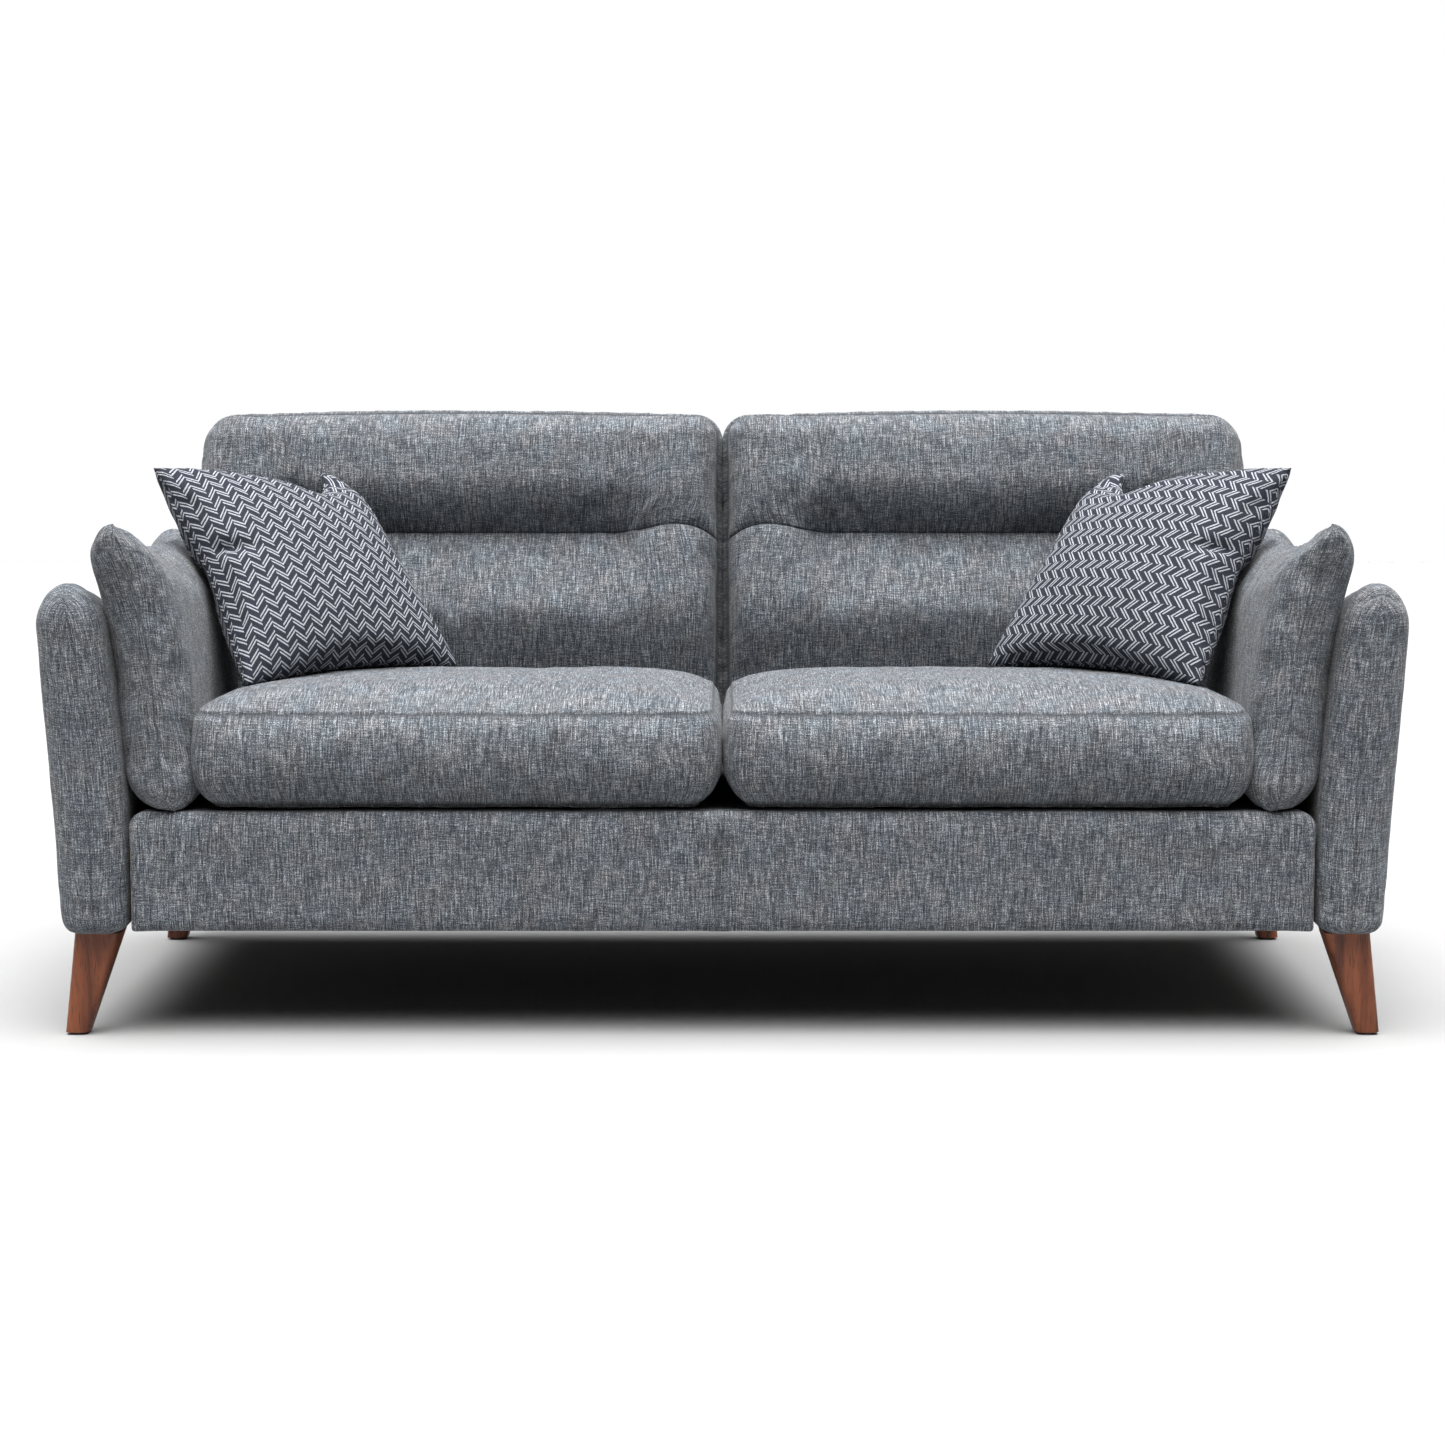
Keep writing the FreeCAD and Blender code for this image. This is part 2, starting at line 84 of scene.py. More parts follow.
class Num:
    """A number worked out by shader nodes, written as ordinary arithmetic."""

    def __init__(self, socket):
        self.socket = socket

    def math(self, operation, *others):
        node = self.socket.id_data.nodes.new("ShaderNodeMath")
        node.operation = operation
        for k, value in enumerate((self, *others)):
            put(node.inputs[k], value)
        return Num(node.outputs[0])

    def __add__(self, other):
        return self.math("ADD", other)

    def __sub__(self, other):
        return self.math("SUBTRACT", other)

    def __mul__(self, other):
        return self.math("MULTIPLY", other)

    def __truediv__(self, other):
        return self.math("DIVIDE", other)

    def frac(self):
        return self.math("FRACT")

    def size(self):
        return self.math("ABSOLUTE")

    def above(self, edge, soft):
        """0 below edge, rising to 1 over a width of soft."""
        return ((self - edge) / soft).math("MAXIMUM", 0.0).math("MINIMUM", 1.0)

    def band(self, centre, half, soft):
        """1 within half of centre, falling to 0 over soft."""
        return ((self - centre).size() * -1.0 + (half + soft)).above(0.0, soft)


class Shader:
    """A material being made: short ways to add its nodes."""

    def __init__(self, name, roughness, **uniform):
        self.material = bpy.data.materials.new(name)
        self.material.use_nodes = True
        self.tree = self.material.node_tree
        self.surface = self.tree.nodes["Principled BSDF"]
        self.surface.inputs["Roughness"].default_value = roughness
        for key, value in uniform.items():
            self.surface.inputs[key.replace("_", " ")].default_value = value

    def new(self, kind, **settings):
        node = self.tree.nodes.new("ShaderNode" + kind)
        for key, value in settings.items():
            setattr(node, key, value)
        return node

    def attribute(self, name):
        return self.new("Attribute", attribute_name=name)

    def split(self, vector):
        node = self.new("SeparateXYZ")
        put(node.inputs[0], vector)
        return [Num(out) for out in node.outputs]

    def join(self, x, y, z=0.0):
        node = self.new("CombineXYZ")
        for socket, value in zip(node.inputs, (x, y, z)):
            put(socket, value)
        return node.outputs[0]

    def noise(self, vector, scale=1.0, detail=2.0, distortion=0.0):
        node = self.new("TexNoise")
        put(node.inputs["Vector"], vector)
        put(node.inputs["Scale"], scale)
        put(node.inputs["Detail"], detail)
        put(node.inputs["Distortion"], distortion)
        return Num(node.outputs[0])

    def ramp(self, value, *stops):
        node = self.new("ValToRGB")
        put(node.inputs[0], value)
        elements = node.color_ramp.elements
        while len(elements) < len(stops):
            elements.new(0.5)
        for element, (position, colour) in zip(elements, stops):
            element.position = position
            element.color = (*colour, 1.0)
        return node.outputs[0]

    def mix(self, share, a, b, blend="MIX"):
        node = self.new("Mix", data_type="RGBA", blend_type=blend)
        put(node.inputs[0], share)
        for socket, value in zip((node.inputs[6], node.inputs[7]), (a, b)):
            put(socket, (*value, 1.0) if isinstance(value, tuple) else value)
        return node.outputs[2]

    def finish(self, colour, height=None, strength=0.5, distance=0.0006, roughness=None):
        put(self.surface.inputs["Base Color"], colour)
        if roughness is not None:
            put(self.surface.inputs["Roughness"], roughness)
        if height is not None:
            bump = self.new("Bump")
            put(bump.inputs["Strength"], strength)
            put(bump.inputs["Distance"], distance)
            put(bump.inputs["Height"], height)
            put(self.surface.inputs["Normal"], bump.outputs[0])
        return self.material


# ---- materials ---------------------------------------------------------------------------------
THREAD = 0.0011          # pitch of the weave's threads
SLUB = 0.026             # length over which a lengthwise thread keeps its colour
SLUB_ACROSS = 0.016      # the same for a crosswise thread
NAVY = (0.014, 0.017, 0.024)
SLATE = (0.051, 0.057, 0.065)
MIST = (0.115, 0.123, 0.135)
CHALK = (0.42, 0.43, 0.445)
WARM = (1.00, 0.965, 0.945)
COOL = (0.93, 0.97, 1.00)


def weave_material(name, shades=(NAVY, SLATE, MIST, CHALK)):
    """Melange linen weave: salt-and-pepper threads with short slubs both ways, in warm and cool patches."""
    m = Shader(name, 0.9, Specular_IOR_Level=0.2, Sheen_Weight=0.10, Sheen_Roughness=0.45)
    u, v, _ = m.split(m.attribute("cloth").outputs["Vector"])
    warp = m.noise(m.join(u / THREAD, v / SLUB, 1.7), detail=1.0)
    weft = m.noise(m.join(u / SLUB_ACROSS, v / THREAD, 8.3), detail=1.0)
    crossing = m.noise(m.join(u / THREAD, v / THREAD, 4.1), scale=0.8, detail=1.0)
    patches = m.noise(m.join(u, v, 2.0), scale=9.0, detail=2.0)
    thread = warp * 0.36 + weft * 0.24 + crossing * 0.40
    tone = thread + (patches - 0.5) * 0.03
    colour = m.ramp(tone, (0.37, shades[0]), (0.465, shades[1]), (0.54, shades[2]), (0.66, shades[3]))
    tint = m.noise(m.join(u, v, 6.0), scale=19.0, detail=2.0)
    colour = m.mix(1.0, colour, m.ramp(tint, (0.36, COOL), (0.64, WARM)), "MULTIPLY")
    # Painted shade: the cloth is darkened along the seams and the back crease, where their grooves lie in
    # shade.
    seam = Num(m.attribute("seam").outputs["Fac"])
    colour = m.mix(seam * 0.85, colour, tuple(c * 0.22 for c in shades[1]))
    return m.finish(colour, thread, strength=0.7, distance=0.0016)


CHEVRON_PAIR = 0.0335    # one rise and one fall of the zigzag
CHEVRON_REPEAT = 0.0215  # from one double line to the next


def herringbone_material(name, turned):
    """Navy cloth with pale double lines in a broken chevron. turned runs the zigzag the other way."""
    m = Shader(name, 0.85, Specular_IOR_Level=0.15, Sheen_Weight=0.02, Sheen_Roughness=0.4)
    u, v, _ = m.split(m.attribute("cloth").outputs["Vector"])
    if turned:
        u, v = v, u
    along = (u / CHEVRON_PAIR).frac()
    falling = along.above(0.5, 0.004)
    zigzag = (along * 2.0 - 1.0).size()
    wobble = m.noise(m.join(u, v, 3.0), scale=300.0, detail=2.0) - 0.5
    phase = (v / CHEVRON_REPEAT + zigzag * 0.74 + falling * 0.30 + wobble * 0.08).frac()
    lines = phase.band(0.18, 0.050, 0.045).math("MAXIMUM", phase.band(0.48, 0.050, 0.045))
    fibre = m.noise(m.join(u / 0.0007, v / 0.0007, 0.0), scale=0.5, detail=2.0)
    pale = (lines * (fibre * 0.5 + 0.75)).math("MINIMUM", 1.0)
    ground = m.ramp(fibre, (0.3, (0.008, 0.009, 0.015)), (0.7, (0.030, 0.033, 0.045)))
    thread = m.ramp(fibre, (0.3, (0.19, 0.20, 0.225)), (0.7, (0.42, 0.435, 0.465)))
    colour = m.mix(pale, ground, thread)
    # Painted shade: the herringbone is darkened along its seams, where their grooves lie in shade.
    seam = Num(m.attribute("seam").outputs["Fac"])
    colour = m.mix(seam * 0.5, colour, (0.012, 0.014, 0.022))
    return m.finish(colour, pale + fibre * 0.4, strength=0.7, distance=0.0012)


def wood_material(name, dark, mid, light, coat, grain=1.0):
    """Wood with its grain running up the piece: broad figure, fine pores, a little sheen."""
    m = Shader(name, 0.42, Specular_IOR_Level=0.3, Coat_Weight=coat, Coat_Roughness=0.28)
    place = m.new("TexCoord").outputs["Object"]
    x, y, z = m.split(place)
    figure = m.noise(m.join(x * 34.0 * grain, y * 34.0 * grain, z * 5.0), detail=5.0, distortion=0.9)
    pores = m.noise(m.join(x * 620.0, y * 620.0, z * 26.0), detail=2.0)
    colour = m.ramp(figure, (0.32, dark), (0.50, mid), (0.68, light))
    colour = m.mix(pores.above(0.57, 0.10) * 0.55, colour, tuple(c * 0.42 for c in dark))
    roughness = figure * 0.20 + 0.34
    return m.finish(colour, pores * -1.0, strength=0.25, distance=0.0004, roughness=roughness)


def metal_material(name, colour, roughness):
    """Plated or drawn metal with fine scratches and slight stains."""
    m = Shader(name, roughness, Metallic=1.0)
    place = m.new("TexCoord").outputs["Object"]
    stains = m.noise(place, scale=40.0, detail=4.0)
    scratches = m.noise(place, scale=900.0, detail=2.0)
    colour = m.mix(stains * 0.5, colour, tuple(c * 0.62 for c in colour))
    roughness = stains * 0.25 + (roughness - 0.1)
    return m.finish(colour, scratches, strength=0.12, distance=0.0003, roughness=roughness)


def grainy_material(name, colour, roughness, scale, strength=0.3):
    """Felt, foam, webbing or moulded plastic: an even colour with a fine grain."""
    m = Shader(name, roughness)
    place = m.new("TexCoord").outputs["Object"]
    grain = m.noise(place, scale=scale, detail=3.0)
    broad = m.noise(place, scale=14.0, detail=3.0)
    tone = m.ramp(grain * 0.6 + broad * 0.4, (0.35, tuple(c * 0.72 for c in colour)), (0.65, colour))
    return m.finish(tone, grain, strength=strength, distance=0.0008)


def make_materials():
    """One material for each slot, and one more for the herringbone that runs the other way."""
    deck_shades = [tuple(c * 0.8 for c in shade) for shade in (NAVY, SLATE, SLATE, MIST)]
    return {
        "blue_grey_weave": weave_material("blue_grey_weave"),
        "deck_padding": weave_material("deck_padding", deck_shades),
        "herringbone_cloth": herringbone_material("herringbone_cloth", False),
        "herringbone_turned": herringbone_material("herringbone_turned", True),
        "walnut_stained_legs": wood_material("walnut_stained_legs", (0.052, 0.013, 0.006),
                                             (0.130, 0.036, 0.014), (0.215, 0.065, 0.026), 0.10),
        "frame_timber": wood_material("frame_timber", (0.42, 0.26, 0.12), (0.60, 0.42, 0.22),
                                      (0.72, 0.54, 0.32), 0.0, 0.6),
        "spring_steel": metal_material("spring_steel", (0.30, 0.30, 0.32), 0.38),
        "zinc_fixings": metal_material("zinc_fixings", (0.62, 0.62, 0.64), 0.32),
        "zip_metal": metal_material("zip_metal", (0.26, 0.25, 0.24), 0.35),
        "glide_plastic": grainy_material("glide_plastic", (0.030, 0.030, 0.030), 0.5, 500.0, 0.15),
        "black_underlining": grainy_material("black_underlining", (0.022, 0.022, 0.024), 0.95, 700.0),
        "webbing": grainy_material("webbing", (0.24, 0.20, 0.14), 0.9, 350.0),
        "filling": grainy_material("filling", (0.72, 0.70, 0.62), 0.95, 260.0),
    }


# ---- padded meshes -----------------------------------------------------------------------------
def edge_rows(reach, thick, cell):
    """Distances from a knife edge that space the rows evenly over its rounded side."""
    turn = np.linspace(0.0, math.pi / 2, 400)
    inwards, outwards = reach * (1 - np.cos(turn)), thick * np.sin(turn)
    along = np.concatenate([[0.0], np.cumsum(np.hypot(np.diff(inwards), np.diff(outwards)))])
    even = np.linspace(SEAM_ROWS[-1], along[-1], max(2, round(along[-1] / cell)))
    return np.interp([0.0, SEAM_ROWS[0], *even], along, inwards)


def rows(length, cell=CELL, seams=(), edge=None):
    """Places of a panel's grid lines from -1 to 1: even, with close rows beside each seam.

    edge is the (reach, thickness) of the rounding beside a knife edge.
    """
    near, far = SEAM_ROWS
    if edge:
        end = edge_rows(*edge, cell)
        inner = length / 2 - edge[0]
        even = np.linspace(-inner, inner, max(2, round(2 * inner / cell)) + 1)[1:-1]
        return np.concatenate([end - length / 2, even, (length / 2 - end)[::-1]]) / (length / 2)
    lines = [-length / 2]
    for low, high in zip((-length / 2, *seams), (*seams, length / 2)):
        even = np.linspace(low + far, high - far, max(2, round((high - low - 2 * far) / cell)) + 1)
        lines += [low + near, *even, high - near, high]
    return np.array(lines) / (length / 2)


def arc(points, axis):
    """Distance over a padded surface along its grid lines, measured from the middle line."""
    lengths = np.linalg.norm(np.diff(points, axis=axis), axis=-1)
    start = np.zeros_like(np.take(lengths, [0], axis))
    total = np.concatenate([start, np.cumsum(lengths, axis)], axis)
    return total - np.take(total, [total.shape[axis] // 2], axis)


def rise(distance, reach, power=2.0):
    """Height of a padded edge: 0 at the seam, 1 from reach inwards. A higher power is squarer."""
    s = np.clip(distance / reach, 0.0, 1.0)
    return (1.0 - (1.0 - s) ** power) ** (1.0 / power)


def step(value, low, high):
    t = np.clip((value - low) / (high - low), 0.0, 1.0)
    return t * t * (3.0 - 2.0 * t)


def rounded(width, height, radii):
    """The plane of a rectangular panel with round corners: radii of the (-,-), (+,-), (+,+), (-,+) ones."""
    def plane(a, b):
        x, y = a * width / 2, b * height / 2
        for (sx, sy), r in zip(((-1, -1), (1, -1), (1, 1), (-1, 1)), radii):
            dx = np.maximum(sx * x - (width / 2 - r), 0.0)
            dy = np.maximum(sy * y - (height / 2 - r), 0.0)
            corner = (dx > 0) & (dy > 0)
            longest = np.maximum(np.maximum(dx, dy), 1e-9)
            scale = np.where(corner, longest / np.maximum(np.hypot(dx, dy), 1e-9), 1.0)
            x = np.where(corner, sx * (width / 2 - r + dx * scale), x)
            y = np.where(corner, sy * (height / 2 - r + dy * scale), y)
        return x, y
    return plane


class Panel:
    """The flat grid of a soft piece's panels, with what its height functions need."""

    def __init__(self, width, height, plane, cell=CELL, seams_b=(), edge=None):
        a, b = rows(width, cell, edge=edge), rows(height, cell, seams_b, edge)
        self.a, self.b = np.meshgrid(a, b, indexing="ij")
        self.x, self.y = plane(self.a, self.b)
        self.width, self.height = width, height
        self.left, self.right = (self.a + 1) * width / 2, (1 - self.a) * width / 2
        self.low, self.high = (self.b + 1) * height / 2, (1 - self.b) * height / 2
        self.edge = np.minimum(np.minimum(self.left, self.right), np.minimum(self.low, self.high))


def stuffed(name, panel, front, back, place, border=0, bulge=None, side_share=1.0, seams=()):
    """A closed piece sewn from two panels.

    front and back are the panels' heights above their common plane. place(x, y, w) sets points of the
    flat piece in the row frame. border is the number of rows of cells in the strip between the
    panels, and bulge(t) how far the strip stands out, t running from the front seam to the back one;
    it stands out by only side_share of that at the two ends of the panels' first axis.
    seams are grid rows or columns that are sewn down: ("row" or "column", index, panel side, share).
    """
    count_a, count_b = panel.x.shape
    around = ([(i, 0) for i in range(count_a)] + [(count_a - 1, j) for j in range(1, count_b)]
              + [(i, count_b - 1) for i in range(count_a - 2, -1, -1)]
              + [(0, j) for j in range(count_b - 2, 0, -1)])
    ring_a, ring_b = np.array(around).T
    total = count_a * count_b
    front_index = np.arange(total).reshape(count_a, count_b)
    ring_x, ring_y = panel.x[ring_a, ring_b], panel.y[ring_a, ring_b]
    along = np.concatenate([[0.0], np.cumsum(np.hypot(np.diff(ring_x), np.diff(ring_y)))])

    flat = [np.stack([panel.x, panel.y, front], -1).reshape(-1, 3)]
    depth = [panel.edge.ravel()]
    run = [np.where(np.minimum(panel.left, panel.right) < np.minimum(panel.low, panel.high),
                    panel.y, panel.x).ravel()]
    tangent_x = np.roll(ring_x, -1) - np.roll(ring_x, 1)
    tangent_y = np.roll(ring_y, -1) - np.roll(ring_y, 1)
    length = np.maximum(np.hypot(tangent_x, tangent_y), 1e-9)
    out_x, out_y = tangent_y / length * side_share, -tangent_x / length
    rings = [front_index[ring_a, ring_b]]
    next_index = total
    strip = np.abs(front[ring_a, ring_b] - back[ring_a, ring_b])
    for k in range(1, border):
        t = k / border
        out = bulge(t)
        w = front[ring_a, ring_b] * (1 - t) + back[ring_a, ring_b] * t
        flat.append(np.stack([ring_x + out_x * out, ring_y + out_y * out, w], -1))
        depth.append(strip * min(t, 1 - t))
        run.append(along)
        rings.append(np.arange(next_index, next_index + len(around)))
        next_index += len(around)
    if border:
        back_index = np.arange(next_index, next_index + total).reshape(count_a, count_b)
        flat.append(np.stack([panel.x, panel.y, back], -1).reshape(-1, 3))
        depth.append(depth[0])
        run.append(run[0])
    else:
        inside = np.ones((count_a, count_b), bool)
        inside[[0, -1], :] = False
        inside[:, [0, -1]] = False
        back_index = front_index.copy()
        back_index[inside] = np.arange(next_index, next_index + inside.sum())
        flat.append(np.stack([panel.x, panel.y, back], -1)[inside])
        depth.append(panel.edge[inside])
        run.append(run[0].reshape(count_a, count_b)[inside])
    rings.append(back_index[ring_a, ring_b])

    flat = np.concatenate(flat)
    points = np.stack(place(flat[:, 0], flat[:, 1], flat[:, 2]), -1)
    faces, cloth = [], []
    quad = ((0, 0), (1, 0), (1, 1), (0, 1))
    for index, order in ((front_index, quad), (back_index, quad[::-1])):
        grid_uv = np.stack([arc(points[index], 0), arc(points[index], 1)], -1)
        corners = [(slice(di, count_a - 1 + di), slice(dj, count_b - 1 + dj)) for di, dj in order]
        faces.append(np.stack([index[c] for c in corners], -1).reshape(-1, 4))
        cloth.append(np.stack([grid_uv[c] for c in corners], -2).reshape(-1, 4, 2))
    if border:
        perimeter = along[-1] + math.hypot(ring_x[0] - ring_x[-1], ring_y[0] - ring_y[-1])
        ends = np.append(along, perimeter)
        low = np.zeros(len(around))
        for k in range(border):
            a, b = rings[k], rings[k + 1]
            faces.append(np.stack([a, b, np.roll(b, -1), np.roll(a, -1)], -1))
            top, low = low, low - np.linalg.norm(points[b] - points[a], axis=1)
            cloth.append(np.stack([np.stack([ends[:-1], top], -1), np.stack([ends[:-1], low], -1),
                                   np.stack([ends[1:], low], -1), np.stack([ends[1:], top], -1)], 1))

    faces = np.concatenate(faces)
    mesh = bpy.data.meshes.new(name)
    mesh.from_pydata(points, [], faces.tolist())
    mesh.polygons.foreach_set("use_smooth", np.ones(len(faces), bool))
    piece = bpy.data.objects.new(name, mesh)
    bpy.context.scene.collection.objects.link(piece)

    uv = np.zeros((len(faces) * 4, 3), np.float32)
    uv[:, :2] = np.concatenate(cloth).reshape(-1, 2)
    mesh.attributes.new("cloth", "FLOAT_VECTOR", "CORNER").data.foreach_set("vector", uv.ravel())
    sewn = np.zeros(len(flat))
    sewn[rings[0]] = 1.0
    sewn[rings[-1]] = 1.0
    depth, run = np.concatenate(depth), np.concatenate(run)
    for way, k, side, share in seams:
        index = front_index if side == "front" else back_index
        line = index[:, k] if way == "row" else index[k, :]
        # share sets how deep the line is drawn in and how strongly painted shade darkens it.
        sewn[line] = share
    for key, values in (("sewn", sewn), ("seam_distance", depth), ("seam_run", run)):
        mesh.attributes.new(key, "FLOAT", "POINT").data.foreach_set("value", values.astype(np.float32))
    return piece


def points_of(mesh):
    co = np.empty(len(mesh.vertices) * 3)
    mesh.vertices.foreach_get("co", co)
    return co.reshape(-1, 3)


def normals_of(mesh):
    out = np.empty(len(mesh.vertices) * 3)
    mesh.vertex_normals.foreach_get("vector", out)
    return out.reshape(-1, 3)


def values_of(mesh, name):
    out = np.empty(len(mesh.attributes[name].data))
    mesh.attributes[name].data.foreach_get("value", out)
    return out


def set_points(mesh, co):
    mesh.vertices.foreach_set("co", co.ravel())
    mesh.update()


CLOTH_MASS = 0.25        # of each vertex, kg
CLOTH_DAMPING = 8.0
CLOTH_STEPS = 6          # simulation steps in a frame


def inflate(piece, pressure, cap, spare=0.03, frames=18, pinned=True, stiffness=12.0, bending=0.6):
    """Fills a piece with air by cloth simulation. No point ends up further than cap from its start.

    spare is the share by which the cloth is larger than the shape it starts from. pinned holds the
    seams where they are.
    """
    start = points_of(piece.data)
    modifier = piece.modifiers.new("cloth", "CLOTH")
    cloth = modifier.settings
    cloth.quality = CLOTH_STEPS
    cloth.mass = CLOTH_MASS
    cloth.tension_stiffness = stiffness
    cloth.compression_stiffness = stiffness
    cloth.shear_stiffness = stiffness * 0.4
    cloth.bending_stiffness = bending
    cloth.tension_damping = CLOTH_DAMPING
    cloth.compression_damping = CLOTH_DAMPING
    cloth.use_pressure = True
    cloth.uniform_pressure_force = pressure
    cloth.shrink_min = -spare
    cloth.effector_weights.gravity = 0.0
    if pinned:
        group = piece.vertex_groups.new(name="pin")
        sewn = values_of(piece.data, "sewn")
        group.add([int(k) for k in np.flatnonzero(sewn > 0.0)], 1.0, "REPLACE")
        cloth.vertex_group_mass = "pin"
    modifier.point_cache.frame_start = 1
    modifier.point_cache.frame_end = frames
    scene = bpy.context.scene
    for number in range(1, frames + 1):
        scene.frame_set(number)
    shaped = piece.evaluated_get(bpy.context.evaluated_depsgraph_get())
    moved = points_of(shaped.data) - start
    piece.modifiers.remove(modifier)
    piece.vertex_groups.clear()
    scene.frame_set(1)
    far = np.linalg.norm(moved, axis=1, keepdims=True)
    limit = cap * np.tanh(far / cap) / np.maximum(far, 1e-9)
    set_points(piece.data, start + moved * limit)


def sew(piece, groove):
    """Draws the sewn points in to make the seams' grooves."""
    sewn = values_of(piece.data, "sewn")
    set_points(piece.data, points_of(piece.data) - normals_of(piece.data) * (sewn * groove)[:, None])


def subdivide(piece):
    """Smooths a piece by one subdivision and makes the result its mesh."""
    modifier = piece.modifiers.new("smooth", "SUBSURF")
    modifier.levels = 1
    modifier.boundary_smooth = "PRESERVE_CORNERS"
    shaped = piece.evaluated_get(bpy.context.evaluated_depsgraph_get())
    mesh = bpy.data.meshes.new_from_object(shaped)
    piece.modifiers.remove(modifier)
    old = piece.data
    piece.data = mesh
    bpy.data.meshes.remove(old)
    mesh.name = piece.name
    mesh.polygons.foreach_set("use_smooth", np.ones(len(mesh.polygons), bool))


UNEVENNESS = 0.10        # length of the filling's broad waves
FINE_SHARE = 0.28        # length of the small waves as a share of the broad ones
GATHER = 0.026           # from one pucker to the next along a seam
GATHER_REACH = 0.014     # how far the puckers run from the seam


def ruffle(piece, seed, pucker=0.0007, wave=0.0016):
    """Small folds: puckers across the seams, and broad shallow unevenness of the filling."""
    mesh = piece.data
    co, normal = points_of(mesh), normals_of(mesh)
    distance, run = values_of(mesh, "seam_distance"), values_of(mesh, "seam_run")
    shift = Vector((seed * 3.7, seed * 1.3, seed * 2.1))
    broad = np.array([noise.noise(Vector(p) / UNEVENNESS + shift) for p in co])
    fine = np.array([noise.noise(Vector(p) / (UNEVENNESS * FINE_SHARE) + shift) for p in co])
    fold = np.sin(run * (2 * math.pi / GATHER) + broad * 9.0) * np.exp(-distance / GATHER_REACH)
    gathers = fold * step(distance, 0.001, 0.006) * (0.4 + 0.6 * np.abs(fine))
    calm = step(distance, 0.0, 0.03)
    lift = gathers * pucker + broad * wave * calm + fine * wave * 0.35 * calm
    set_points(mesh, co + normal * lift[:, None])


def finish_soft(piece, material, body, fill, replaced, slot, seed, groove=GROOVE, shade=1.0, **folds):
    """The steps that every padded piece shares, from seams to what it stands for.

    groove is the seams' depth, and shade how strongly painted shade darkens the cloth along them.
    """
    sew(piece, groove)
    subdivide(piece)
    ruffle(piece, seed, **folds)
    mesh = piece.data
    # The seam attribute carries painted shade: the materials darken the cloth along the sewn lines with it.
    seam = mesh.attributes.new("seam", "FLOAT", "POINT")
    seam.data.foreach_set("value", (values_of(mesh, "sewn") * shade).astype(np.float32))
    mesh.materials.append(material)
    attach(piece, body)
    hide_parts(*replaced)
    return piece


def round_border(size):
    """A border strip that stands out by size half-way between its seams."""
    return lambda t: size * math.sqrt(max(1.0 - (2.0 * t - 1.0) ** 2, 0.0))


# ---- seat and back cushions --------------------------------------------------------------------
SEAT_SEAMS = (0.3525, 0.497)   # heights of the seat cushion's lower and upper seam
SEAT_CROWN = 0.025       # how far its top rises above the upper seam
SEAT_TUCK = (0.020, 0.014)     # how far its lower edge draws in at the ends and at the front


def seat_cushion(side, seed):
    """Boxed cushion: a crowned top, a rounded border, and a seam along the top and bottom of it."""
    lo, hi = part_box("seat_cover_" + side)
    roundness, side_share = 0.026, 0.40
    width = hi.x - lo.x - 2 * roundness * side_share
    length = hi.y - lo.y - 2 * roundness
    corners = (0.046, 0.046, 0.040, 0.040)
    panel = Panel(width, length, rounded(width, length, corners))
    seam_low, seam_high = SEAT_SEAMS
    middle = (seam_low + seam_high) / 2
    dome = rise(np.minimum(panel.left, panel.right), 0.19) * rise(np.minimum(panel.low, panel.high), 0.13)
    top = (seam_high - middle) + SEAT_CROWN * dome + 0.006 * (1 - panel.a ** 2) * (1 - panel.b ** 2)
    under = (seam_low - middle) - 0.002 * dome
    centre = ((lo.x + hi.x) / 2, (lo.y + hi.y) / 2)

    def place(x, y, w):
        tuck = np.clip((-w - 0.020) / 0.052, 0.0, 1.0) ** 2
        end, front = np.abs(x) / (width / 2), np.maximum(-y, 0.0) / (length / 2)
        x = x - np.sign(x) * SEAT_TUCK[0] * tuck * end ** 8
        return centre[0] + x, centre[1] + y + SEAT_TUCK[1] * tuck * front ** 8, middle + w
    piece = stuffed("cushion_seat_" + side, panel, top, under, place, border=16,
                    bulge=round_border(roundness), side_share=side_share)
    inflate(piece, 2.2, 0.007, spare=0.02)
    nodes = ["seat_cover_" + side, "seat_foam_" + side]
    return finish_soft(piece, materials["blue_grey_weave"], "seat_cushion_" + side, 0.9, nodes,
                       "blue_grey_weave", seed, 0.0019, 0.8)


BACK_CREASE = 0.373      # height of the sewn crease up the cushion
DART = 0.155             # from the cushion's side to where the crease turns deep


def crease_height(x, half):
    """Height of the crease: it arches up over the last stretch towards either side, then dips."""
    edge = half - np.abs(x)
    arch = 0.009 * np.exp(-((edge - 0.080) / 0.045) ** 2)
    dip = -0.014 * np.exp(-(edge / 0.03) ** 2)
    return BACK_CREASE + arch + dip


